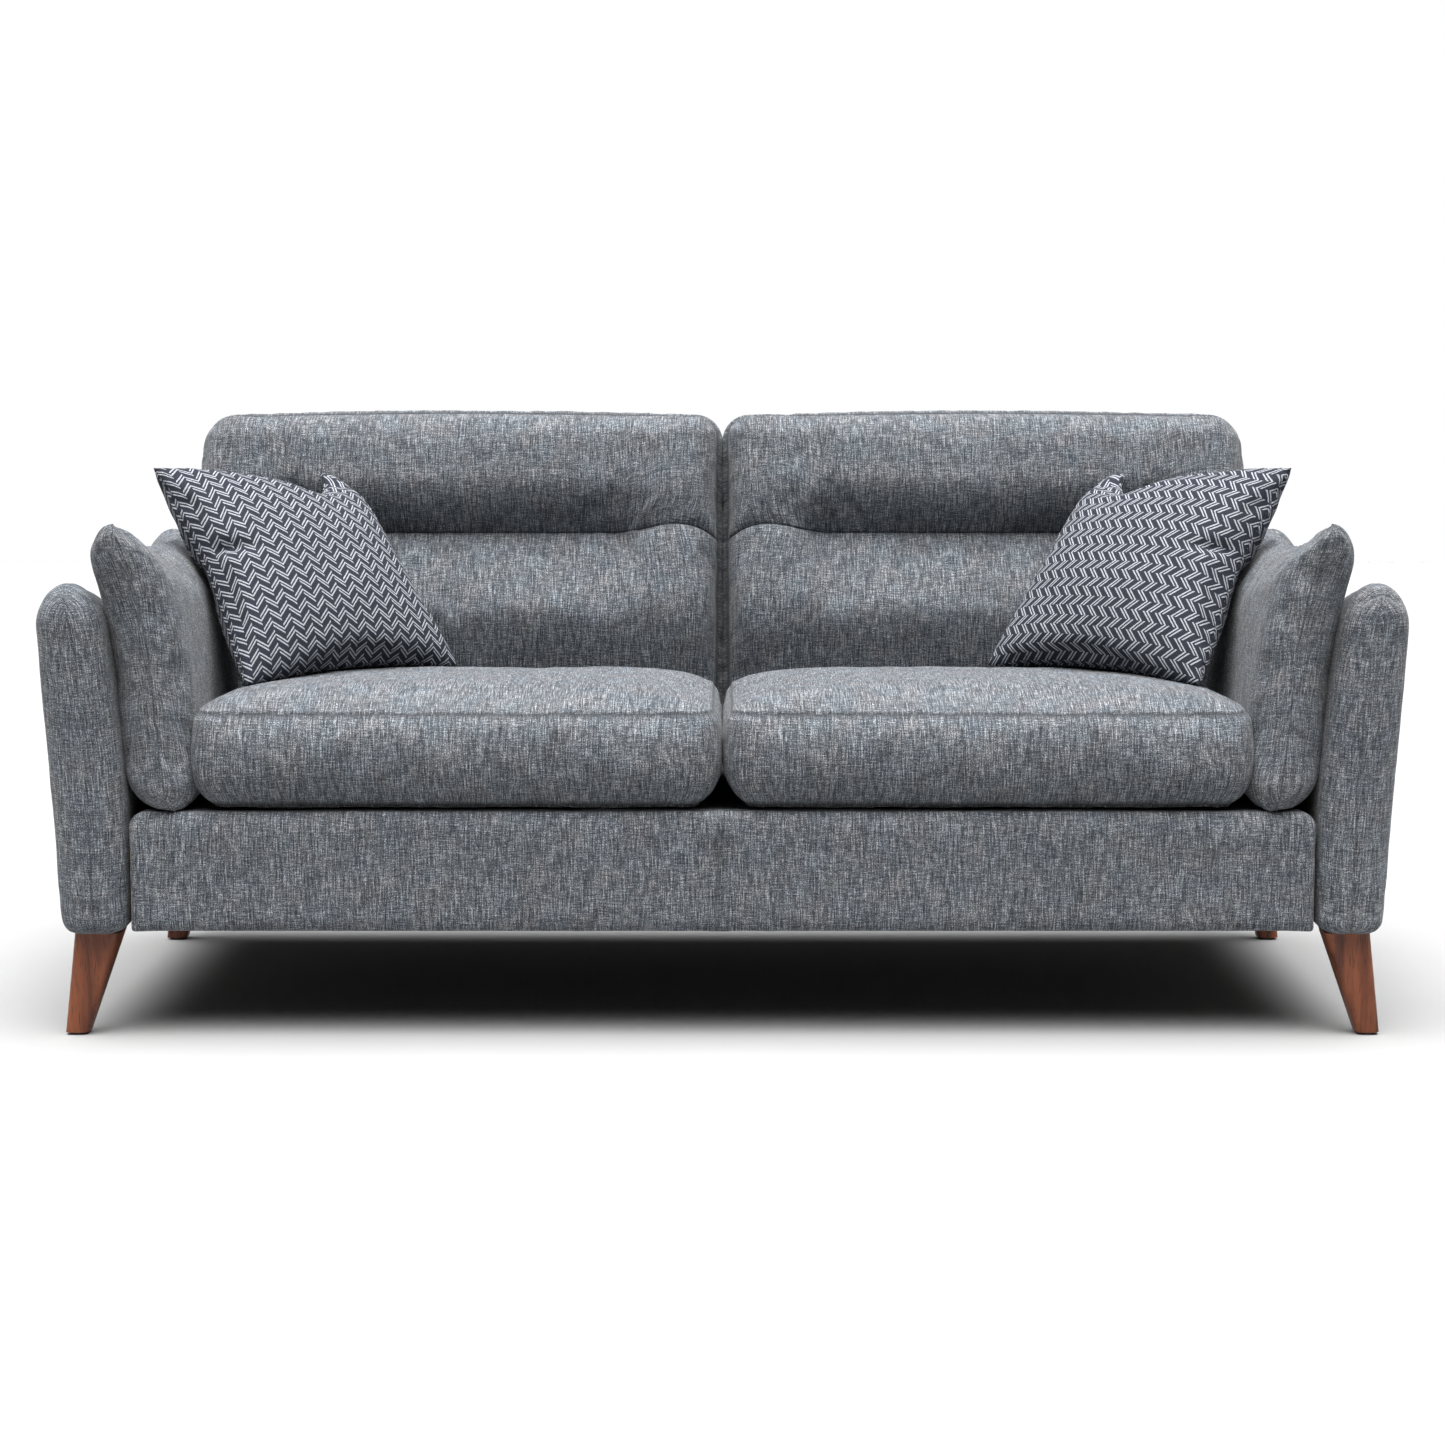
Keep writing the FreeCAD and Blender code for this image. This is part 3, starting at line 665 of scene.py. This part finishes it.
def back_cushion(side, sign, seed):
    """Tall cushion with a roll at its top, a deep sewn crease, and a lumbar bulge under the crease."""
    gap, outer_x = 0.001, 0.927     # X of its inner and outer side
    height, thick = 0.584, 0.190
    seam_w, rear_w = 0.125, 0.034   # how far the front and the rear seam stand out from the back
    side_bulge = 0.008
    width = outer_x - gap
    half = width / 2
    flat_w, flat_h = width - 2 * side_bulge, height - side_bulge
    top_radii = (0.036, 0.050) if sign < 0 else (0.050, 0.036)
    base = rounded(flat_w, flat_h, (0.030, 0.030, *top_radii))
    low_edge = flat_h / 2 + side_bulge / 2

    def plane(a, b):
        x, y = base(a, b)
        near = np.exp(-((y + low_edge - BACK_CREASE) / 0.05) ** 2)
        crown = 0.009 * (1 - a ** 2) * step(b, 0.2, 1.0)
        taper = 0.022 * (1 - step(b, -1.0, 0.3)) + 0.013 * step(b, 0.25, 1.0)
        taper = np.clip(sign * a, 0.0, 1.0) * taper
        return x - sign * taper, y + (crease_height(x, half) - BACK_CREASE) * near + crown
    panel = Panel(flat_w, flat_h, plane, cell=0.0080, seams_b=(BACK_CREASE - low_edge,))
    crease_row = int(np.argmin(np.abs(panel.b[0] * flat_h / 2 - (BACK_CREASE - low_edge))))

    up = panel.y + low_edge
    above = up - crease_height(panel.x, half)
    side_gap = half - np.abs(panel.x)
    # The crease is shallow near the sides and deep between. Above it the roll curves in,
    # and below it a shelf curves out to the lumbar bulge.
    deep = step(side_gap, DART - 0.050, DART + 0.040)
    cut = 0.009 + 0.041 * deep
    scoop = np.clip(1.0 - above / (0.024 + 0.067 * deep), 0.0, 1.0) ** 1.7
    shelf = np.clip(1.0 + above / (0.018 + 0.132 * deep), 0.0, 1.0) ** 1.9
    recess = cut * np.where(above > 0, scoop, shelf) * step(side_gap, 0.0, 0.03)
    edges = rise(np.minimum(panel.left, panel.right), 0.048) * rise(panel.low, 0.05)
    # The foot draws back behind the seat, and the lumbar part and the roll stand out a little.
    sink = 0.031 * np.clip((0.262 - up) / 0.150, 0.0, 1.0) ** 1.6
    bulges = 0.013 * np.exp(-((up - 0.240) / 0.085) ** 2) + 0.006 * np.exp(-((up - 0.445) / 0.065) ** 2)
    front = (thick - seam_w - 0.004 + bulges - sink) * edges * rise(panel.high, 0.044, 2.1) - recess
    across = panel.x * -sign
    front = front + (dart_fold(across, above, half) if side == "left" else dart_dimple(across, above, half))
    rear = (rear_w - seam_w) - rear_w * rise(panel.edge, 0.03)

    up_axis = Vector((0.0, math.sin(RAKE), math.cos(RAKE)))
    out_axis = Vector((0.0, -math.cos(RAKE), math.sin(RAKE)))
    origin = BACK_FOOT + up_axis * 0.003 + out_axis * 0.003
    centre_x = sign * (gap + outer_x) / 2

    def place(x, y, w):
        rise_up, out = y + low_edge, w + seam_w
        return (centre_x + x, origin.y + up_axis.y * rise_up + out_axis.y * out,
                origin.z + up_axis.z * rise_up + out_axis.z * out)
    # The crease is sewn like a seam: it is drawn in, and painted shade darkens it.
    crease = ("row", crease_row, "front", 1.0)
    piece = stuffed("cushion_back_" + side, panel, front, rear, place, border=8,
                    bulge=round_border(side_bulge), seams=(crease,))
    mark_line(piece, panel, crease_row)
    inflate(piece, 2.2, 0.006, spare=0.02)
    nodes = ["back_cushion_cover_" + side, "back_cushion_fill_" + side]
    return finish_soft(piece, materials["blue_grey_weave"], "back_cushion_" + side, 0.85, nodes,
                       "blue_grey_weave", seed)


def dart_fold(x, above, half):
    """A narrow fold of cloth that runs up and inwards from where the crease turns deep."""
    inwards = x - (half - DART)
    s = np.clip((inwards * 0.65 + above * 0.76) / 0.055, 0.0, 1.0)
    away = np.hypot(inwards - s * 0.036, above - s * 0.042)
    return 0.0080 * np.exp(-(away / 0.0060) ** 2) * (1 - 0.5 * s)


def dart_dimple(x, above, half):
    """A soft hollow beside the end of the deep crease."""
    away = np.hypot((x - (half - DART + 0.030)) / 1.6, above - 0.020)
    return -0.007 * np.exp(-(away / 0.018) ** 2)


def mark_line(piece, panel, row):
    """Lets the crease count as a seam, so that it has puckers beside it."""
    mesh = piece.data
    distance = values_of(mesh, "seam_distance")
    gap = np.abs(panel.y - panel.y[:, row][:, None]).ravel()
    count = gap.size
    distance[:count] = np.minimum(distance[:count], gap)
    mesh.attributes["seam_distance"].data.foreach_set("value", distance.astype(np.float32))


# ---- arms and arm cushions ---------------------------------------------------------------------
ARM_FRONT, ARM_REAR = -0.480, 0.468
ARM_PLANE = 0.96         # X of the plane that an arm's two panels are measured from
ARM_TOP = ((-0.48, 0.683), (-0.44, 0.692), (-0.36, 0.684), (-0.25, 0.662), (-0.12, 0.644), (0.02, 0.636),
           (0.14, 0.646), (0.25, 0.680), (0.34, 0.722), (0.41, 0.742), (0.468, 0.738))


def smooth_line(pairs, at):
    """A smooth curve through (place, value) pairs."""
    px, py = np.array(pairs).T
    slope = np.gradient(py, px)
    k = np.clip(np.searchsorted(px, at) - 1, 0, len(px) - 2)
    span = px[k + 1] - px[k]
    t = np.clip((at - px[k]) / span, 0.0, 1.0)
    a, b = 2 * t ** 3 - 3 * t ** 2 + 1, t ** 3 - 2 * t ** 2 + t
    return a * py[k] + b * span * slope[k] + (1 - a) * py[k + 1] + (t ** 3 - t ** 2) * span * slope[k + 1]


# From the front: X of the arm's seam and of its two faces by height, up to the front peak.
ARM_PEAK = 0.693
ARM_SEAM = ((0.16, 0.952), (0.30, 0.955), (0.45, 0.960), (0.57, 0.968), (0.64, 0.979), (0.693, 0.991))
ARM_OUTER = ((0.16, 1.005), (0.19, 1.008), (0.32, 1.015), (0.548, 1.031), (0.63, 1.036), (0.693, 1.038))
ARM_INNER = ((0.16, 0.908), (0.345, 0.910), (0.42, 0.916), (0.548, 0.929), (0.63, 0.938), (0.693, 0.940))


def arm_cover(side, sign, seed):
    """Padded arm: an inner and an outer panel, sewn up the front, over the top and down the back."""
    length, height = ARM_REAR - ARM_FRONT, 0.52
    base = rounded(length, height, (0.020, 0.020, 0.045, 0.040))
    middle_y = (ARM_FRONT + ARM_REAR) / 2

    def plane(a, b):
        y, z = base(a, b)
        y = y + middle_y
        share = (z + height / 2) / height
        return y, BODY_Z + (smooth_line(ARM_TOP, y) - BODY_Z) * share
    panel = Panel(length, height, plane, cell=0.0095, edge=(0.055, 0.052))
    top = smooth_line(ARM_TOP, panel.x)
    tall = panel.high * (top - BODY_Z) / height
    on_outline = np.minimum(panel.y + (ARM_PEAK - top) * step(panel.y, 0.35, 0.60), ARM_PEAK)
    seam = smooth_line(ARM_SEAM, on_outline)
    ends = rise(panel.left, 0.050, 2.3) * rise(panel.right, 0.040, 2.3) * rise(panel.low, 0.024, 4.0)
    inner = (seam - smooth_line(ARM_INNER, on_outline)) * ends * rise(tall, 0.080)
    outer = (seam - smooth_line(ARM_OUTER, on_outline)) * ends * rise(tall, 0.066)
    panel = mirror_panel(panel, sign)
    inner, outer = (ARM_PLANE - seam + inner), (ARM_PLANE - seam + outer)
    if sign > 0:
        inner, outer = inner[::-1], outer[::-1]
    piece = stuffed("arm_padding_" + side, panel, inner, outer,
                    lambda y, z, w: (sign * (ARM_PLANE - w), y * sign * -1.0, z))
    inflate(piece, 1.2, 0.003, spare=0.012, frames=12)
    return finish_soft(piece, materials["blue_grey_weave"], "sofa_frame", 0.95, ["arm_cover_" + side],
                       "blue_grey_weave", seed, 0.0015, 0.45, wave=0.0010)


def mirror_panel(panel, sign):
    """Runs a right-hand panel's first axis from the back to the front, so that its front faces inwards."""
    panel.x = panel.x * sign * -1.0
    if sign > 0:
        for key in ("a", "b", "x", "y", "left", "right", "low", "high", "edge"):
            setattr(panel, key, getattr(panel, key)[::-1])
    return panel


ARM_CUSHION_LENGTH, ARM_CUSHION_HEIGHT = 0.560, 0.40
ARM_CUSHION_FRONT, ARM_CUSHION_LOW = -0.470, 0.346
ARM_CUSHION_INNER, ARM_CUSHION_OUTER = 0.043, 0.064   # how thick it is on either side of its seam


def cushion_middle(z):
    """X of the arm cushion's seam by height: it leans outwards with the arm."""
    t = (z - 0.35) / 0.435
    return 0.838 + 0.085 * t - 0.130 * t ** 2 + 0.124 * t ** 3


def arm_cushion(side, sign, seed):
    """Knife-edged pad beside the seat: a seam all round, an ear at each top corner, a dip between."""
    length, height = ARM_CUSHION_LENGTH, ARM_CUSHION_HEIGHT
    front_y, low_z = ARM_CUSHION_FRONT, ARM_CUSHION_LOW
    base = rounded(length, height, (0.035, 0.035, 0.034, 0.030))

    def plane(a, b):
        y, z = base(a, b)
        across, upward = y / (length / 2), (z + height / 2) / height
        top = 0.742 + 0.053 * np.abs(across) ** 3.2 - 0.033 * np.maximum(across, 0.0) ** 3
        z = low_z + (top - low_z) * upward
        waist = 0.010 * np.sin(np.pi * np.clip(upward, 0, 1)) ** 1.5
        return front_y + length / 2 + y - waist * across, z
    panel = Panel(length, height, plane, edge=(0.080, 0.054))
    ends = rise(panel.left, 0.085, 2.1) * rise(panel.right, 0.085, 2.1)
    ends = ends * rise(panel.low, 0.050, 2.2)
    inner = ARM_CUSHION_INNER * ends * rise(panel.high, 0.075)
    outer = -ARM_CUSHION_OUTER * ends * rise(panel.high, 0.050)
    panel = mirror_panel(panel, sign)
    if sign > 0:
        inner, outer = inner[::-1], outer[::-1]
    piece = stuffed("cushion_arm_" + side, panel, inner, outer,
                    lambda y, z, w: (sign * (cushion_middle(z) - w), y * sign * -1.0, z))
    inflate(piece, 2.0, 0.005, spare=0.04)
    nodes = ["arm_cushion_cover_" + side, "arm_cushion_fill_" + side]
    return finish_soft(piece, materials["blue_grey_weave"], "arm_cushion_" + side, 0.8, nodes,
                       "blue_grey_weave", seed, 0.0020, 0.7, pucker=0.0020)


# ---- scatter cushions --------------------------------------------------------------------------
SCATTER = 0.436          # side of the cover, ear to ear
SCATTER_BOW = 0.018      # how far its sides draw in between the ears
SCATTER_HALF = 0.064     # half of its thickness
SCATTER_REACH = 0.19     # from its edge to where it is full
SCATTER_EAR = 0.100      # the inner top ear is folded over this far from its tip, along both edges together
SCATTER_TWIST = 0.14     # turn of its top edge against its bottom edge
SCATTER_AT = (-0.689, -0.047, 0.687)    # the middle of the left one, and its two directions
SCATTER_ACROSS = Vector((0.687, 0.726, -0.014))
SCATTER_UP = Vector((-0.451, 0.442, 0.776))


def scatter_cushion(side, sign, seed):
    """Square knife-edged cushion with pointed ears; its inner top ear is folded back.

    It is made as the left one lies, and mirrored for the right one.
    """
    def plane(a, b):
        blunt = 1.0 - 0.045 * np.abs(a * b) ** 5
        notch = 0.034 * np.exp(-((a - 0.44) / 0.30) ** 2) * step(b, 0.2, 1.0)
        x = a * (SCATTER / 2 - SCATTER_BOW * (1 - b ** 2)) * blunt
        return x, b * (SCATTER / 2 - SCATTER_BOW * (1 - a ** 2)) * blunt - notch
    panel = Panel(SCATTER, SCATTER, plane, edge=(SCATTER_REACH, SCATTER_HALF))
    body = (rise(np.minimum(panel.left, panel.right), SCATTER_REACH, 1.9)
            * rise(np.minimum(panel.low, panel.high), SCATTER_REACH, 1.9))
    pinch = np.exp(-((panel.y - 0.035 + panel.left * 0.25) / 0.010) ** 2) * step(panel.left, 0.004, 0.02)
    pinch = 0.018 * pinch * (1 - step(panel.left, 0.03, 0.11)) * body ** 0.5
    piece = stuffed("cushion_scatter_" + side, panel, SCATTER_HALF * body - pinch, -SCATTER_HALF * body,
                    lambda x, y, w: (x, y, w))
    inflate(piece, 1.6, 0.012, spare=0.035, frames=18, pinned=False, stiffness=8.0, bending=0.2)
    co = points_of(piece.data)
    ear = co[:, 0] + co[:, 1] - (SCATTER - SCATTER_EAR)
    co[:, 2] -= np.maximum(ear, 0.0) * 0.45 + 0.012 * np.exp(-(ear / 0.010) ** 2)
    co[:, 1] += 0.030 * step(ear, 0.0, 0.055)
    turn = SCATTER_TWIST * co[:, 1] / SCATTER
    x, z = co[:, 0].copy(), co[:, 2].copy()
    co[:, 0], co[:, 2] = x * np.cos(turn) + z * np.sin(turn), z * np.cos(turn) - x * np.sin(turn)
    across = SCATTER_ACROSS.normalized()
    up = (SCATTER_UP - across * SCATTER_UP.dot(across)).normalized()
    co = co @ np.array([across, up, across.cross(up)]) + np.array(SCATTER_AT)
    co[:, 0] *= -sign
    set_points(piece.data, rest_against(co, sign))
    if sign > 0:
        piece.data.flip_normals()
    nodes = ["scatter_cover_" + side, "scatter_fill_" + side]
    cloth = materials["herringbone_turned" if sign > 0 else "herringbone_cloth"]
    return finish_soft(piece, cloth, "scatter_cushion_" + side, 0.75, nodes, "herringbone_cloth", seed,
                       pucker=0.0010, wave=0.0022)


def rest_against(co, sign):
    """Flattens a scatter cushion where it lies on the seat and leans on the back and arm cushions."""
    x, y, z = co[:, 0] * sign, co[:, 1], co[:, 2]
    seat = 0.521 - 0.30 * np.maximum(x - 0.77, 0.0) * 2.0
    z = soft_max(z, seat)
    back = BACK_FOOT.y - 0.193 / math.cos(RAKE) + (z - BACK_FOOT.z) * math.tan(RAKE)
    y = -soft_max(-y, -(back - 0.004))
    arm = cushion_middle(np.minimum(z, 0.74)) - 0.050 + np.maximum(z - 0.70, 0.0) * 4.0
    x = np.where(y < 0.10, -soft_max(-x, -arm), x)
    return np.stack([x * sign, y, z], -1)


def soft_max(value, floor, blend=0.006):
    """The larger of the two, rounded off over about blend where they meet."""
    gap = (value - floor) / blend
    far = np.maximum(value - floor - 40 * blend, 0.0)
    return floor + blend * np.logaddexp(0.0, np.clip(gap, -40, 40)) + far


# ---- front border, back and platform -----------------------------------------------------------
def front_border():
    """Padded strip across the front, rounded at its top, with a seam down its middle."""
    lo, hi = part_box("front_border")
    width, height = hi.x - lo.x, hi.z - lo.z + 0.002
    panel = Panel(width, height, rounded(width, height, (0.006, 0.006, 0.026, 0.026)), cell=0.0095)
    rear_top, rear_low = hi.y, -0.4395
    depth = 0.020
    ends = rise(np.minimum(panel.left, panel.right), 0.006)
    face = depth * ends * rise(panel.high, 0.026) * rise(panel.low, 0.010)
    front_y = lo.y + depth + 0.006     # a little back, under the seat cushions
    up = panel.y + height / 2
    rear_y = rear_low + (rear_top - rear_low) * step(up, 0.166, 0.176)
    rear = -(rear_y - front_y) * rise(panel.edge, 0.002)
    centre = int(np.argmin(np.abs(panel.a[:, 0])))

    def place(x, z, w):
        return (lo.x + hi.x) / 2 + x, front_y - w, lo.z + height / 2 + z
    middle_seam = ("column", centre, "front", 0.45)
    piece = stuffed("front_border_padding", panel, face, rear, place, seams=(middle_seam,))
    inflate(piece, 1.0, 0.002, spare=0.01, frames=10)
    return finish_soft(piece, materials["blue_grey_weave"], "sofa_frame", 0.95, ["front_border"],
                       "blue_grey_weave", 31, wave=0.0008)


OUTER_BACK_Y = 0.446     # the outer back at the body's underside
OUTER_BACK_SLOPE = 0.055
OUTER_BACK_PAD = 0.022   # from the outer back to the seam at its edge


def back_cover():
    """Outer and inner back: a padded slab, raked inside, with round shoulders and a middle seam."""
    lo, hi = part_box("back_cover")
    width, low = hi.x - lo.x, BODY_Z + 0.003
    height = hi.z - low
    base = rounded(width, height, (0.012, 0.012, 0.085, 0.085))

    def plane(a, b):
        x, z = base(a, b)
        share = (z + height / 2) / height
        narrow = 1.0 - 0.030 * (1.0 - step(share, 0.25, 0.75))
        return x * narrow, z
    panel = Panel(width, height, plane, cell=0.011)
    up = panel.y + height / 2 + low
    slope = math.tan(RAKE)
    rear_y = OUTER_BACK_Y + (up - BODY_Z) * OUTER_BACK_SLOPE
    inner_y = np.where(up > DECK_Z, BACK_FOOT.y + (up - DECK_Z) * slope, 0.3325)
    seam_y = rear_y - OUTER_BACK_PAD
    ends = rise(np.minimum(panel.left, panel.right), 0.022) * rise(panel.low, 0.006)
    outer = OUTER_BACK_PAD * ends * rise(panel.high, 0.040)
    inner = -(seam_y - inner_y) * ends * rise(panel.high, 0.050, 2.3)
    centre = int(np.argmin(np.abs(panel.a[:, 0])))

    def place(x, z, w):
        upward = z + height / 2 + low
        return -x, OUTER_BACK_Y + (upward - BODY_Z) * OUTER_BACK_SLOPE - OUTER_BACK_PAD + w, upward
    middle_seam = ("column", centre, "front", 0.45)
    piece = stuffed("back_padding", panel, outer, inner, place, seams=(middle_seam,))
    inflate(piece, 1.0, 0.003, spare=0.01, frames=10)
    return finish_soft(piece, materials["blue_grey_weave"], "sofa_frame", 0.95, ["back_cover"],
                       "blue_grey_weave", 37, wave=0.0010)


def seat_platform():
    """Quilted deck under the seat cushions, sewn across in channels."""
    lo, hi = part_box("seat_deck")
    width, length, thick = hi.x - lo.x, hi.y - lo.y, hi.z - lo.z
    panel = Panel(width, length, rounded(width, length, (0.01,) * 4), cell=0.014)
    channel = 0.5 + 0.5 * np.cos(panel.x * (2 * math.pi / 0.145))
    body = rise(panel.edge, 0.005)
    top = (thick / 2 - 0.004 * channel ** 6) * body

    def place(x, y, w):
        return (lo.x + hi.x) / 2 + x, (lo.y + hi.y) / 2 + y, (lo.z + hi.z) / 2 + w
    piece = stuffed("seat_platform_padding", panel, top, -thick / 2 * body, place)
    return finish_soft(piece, materials["deck_padding"], "sofa_frame", 0.6, ["seat_deck"],
                       "deck_padding", 41)


def underlining():
    """Thin black cloth stapled under the body, sagging a little between the rails."""
    lo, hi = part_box("dust_cover")
    width, length = hi.x - lo.x, hi.y - lo.y
    panel = Panel(width, length, rounded(width, length, (0.004,) * 4), cell=0.016)
    along = np.sin(np.pi * np.clip(panel.low / length, 0, 1)) ** 2
    sag = 0.0035 * along * np.abs(np.sin(panel.x * math.pi / 0.9))
    top, under = np.full(panel.x.shape, 0.0005), np.full(panel.x.shape, -0.0005)

    def place(x, y, w):
        return (lo.x + hi.x) / 2 + x, (lo.y + hi.y) / 2 + y, lo.z + 0.0008 + w
    piece = stuffed("underlining_cloth", panel, top - sag, under - sag, place, border=1)
    subdivide(piece)
    piece.data.materials.append(materials["black_underlining"])
    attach(piece, "sofa_frame")
    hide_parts("dust_cover")
    return piece


# ---- CAD nodes, light and camera ---------------------------------------------------------------
def dress_frame():
    """Gives each CAD node that still shows its finished material."""
    for entry in frame["record"]["subparts"]:
        node = frame["nodes"][entry["node"]]
        node.data.materials.clear()
        node.data.materials.append(materials[entry["material_slot"]])


def area_light(name, at, target, size, power):
    """A rectangular soft light that faces its target."""
    data = bpy.data.lights.new(name, "AREA")
    data.shape = "RECTANGLE"
    data.size, data.size_y = size
    data.energy = power
    light = bpy.data.objects.new(name, data)
    light.location = at
    light.rotation_euler = (Vector(target) - Vector(at)).to_track_quat("-Z", "Y").to_euler()
    bpy.context.scene.collection.objects.link(light)


FLOOR = 0.31             # how pale the floor is; the light makes it white
FLOOR_REACH = 14.0
OVERHEAD_AT = (0.0, -0.6, 3.2)
OVERHEAD_SIZE = (3.0, 1.8)
OVERHEAD_POWER = 28.0
ZENITH = 10.2             # strength of the light tent's roof
WALLS = 0.09             # strength of its walls
LEAN = math.radians(9.0)      # the bright part of the roof lies this far towards the front


def make_stage():
    """A pale matt floor, and one large soft light over the sofa."""
    mesh = bpy.data.meshes.new("floor")
    corners = ((-1, -1), (1, -1), (1, 1), (-1, 1))
    mesh.from_pydata([(x * FLOOR_REACH, y * FLOOR_REACH, 0) for x, y in corners], [], [(0, 1, 2, 3)])
    floor = bpy.data.objects.new("floor", mesh)
    bpy.context.scene.collection.objects.link(floor)
    paint = Shader("pale_floor", 0.9)
    mottle = paint.noise(paint.new("TexCoord").outputs["Object"], scale=3.0, detail=3.0)
    paint.finish(paint.ramp(mottle, (0.3, (FLOOR, FLOOR, FLOOR)), (0.7, (FLOOR * 1.03,) * 3)))
    mesh.materials.append(paint.material)
    area_light("overhead", OVERHEAD_AT, (0.0, -0.05, 0.3), OVERHEAD_SIZE, OVERHEAD_POWER)
    bpy.context.scene.view_settings.view_transform = "Standard"


def make_light_tent():
    """A white tent around the sofa, bright overhead and dim around: soft light, mostly from above."""
    world = bpy.data.worlds.new("studio")
    bpy.context.scene.world = world
    world.use_nodes = True
    tree = world.node_tree
    split = tree.nodes.new("ShaderNodeSeparateXYZ")
    put(split.inputs[0], tree.nodes.new("ShaderNodeTexCoord").outputs["Generated"])
    seen = Num(tree.nodes.new("ShaderNodeLightPath").outputs["Is Camera Ray"])
    upward = Num(split.outputs[2]) * math.cos(LEAN) - Num(split.outputs[1]) * math.sin(LEAN)
    light = upward.above(0.70, 0.24) * ZENITH + WALLS
    tree.nodes["Background"].inputs["Color"].default_value = (1.0, 1.0, 1.0, 1.0)
    put(tree.nodes["Background"].inputs["Strength"], light * (seen * -1.0 + 1.0) + seen)


def make_camera():
    """A long lens at the height of a standing person's chest, tipped down a little."""
    data = bpy.data.cameras.new("camera")
    data.lens = CAMERA_LENS
    data.sensor_width = SENSOR
    camera = bpy.data.objects.new("camera", data)
    camera.location = CAMERA_AT
    camera.rotation_euler = (math.pi / 2 + CAMERA_PITCH, 0.0, 0.0)
    bpy.context.scene.collection.objects.link(camera)
    bpy.context.scene.camera = camera


materials = make_materials()
dress_frame()
for side, sign, seed in (("left", -1, 1), ("right", 1, 2)):
    seat_cushion(side, seed)
    back_cushion(side, sign, seed + 10)
    arm_cover(side, sign, seed + 20)
    arm_cushion(side, sign, seed + 30)
    scatter_cushion(side, sign, seed + 40)
front_border()
back_cover()
seat_platform()
underlining()
make_stage()
make_light_tent()
make_camera()
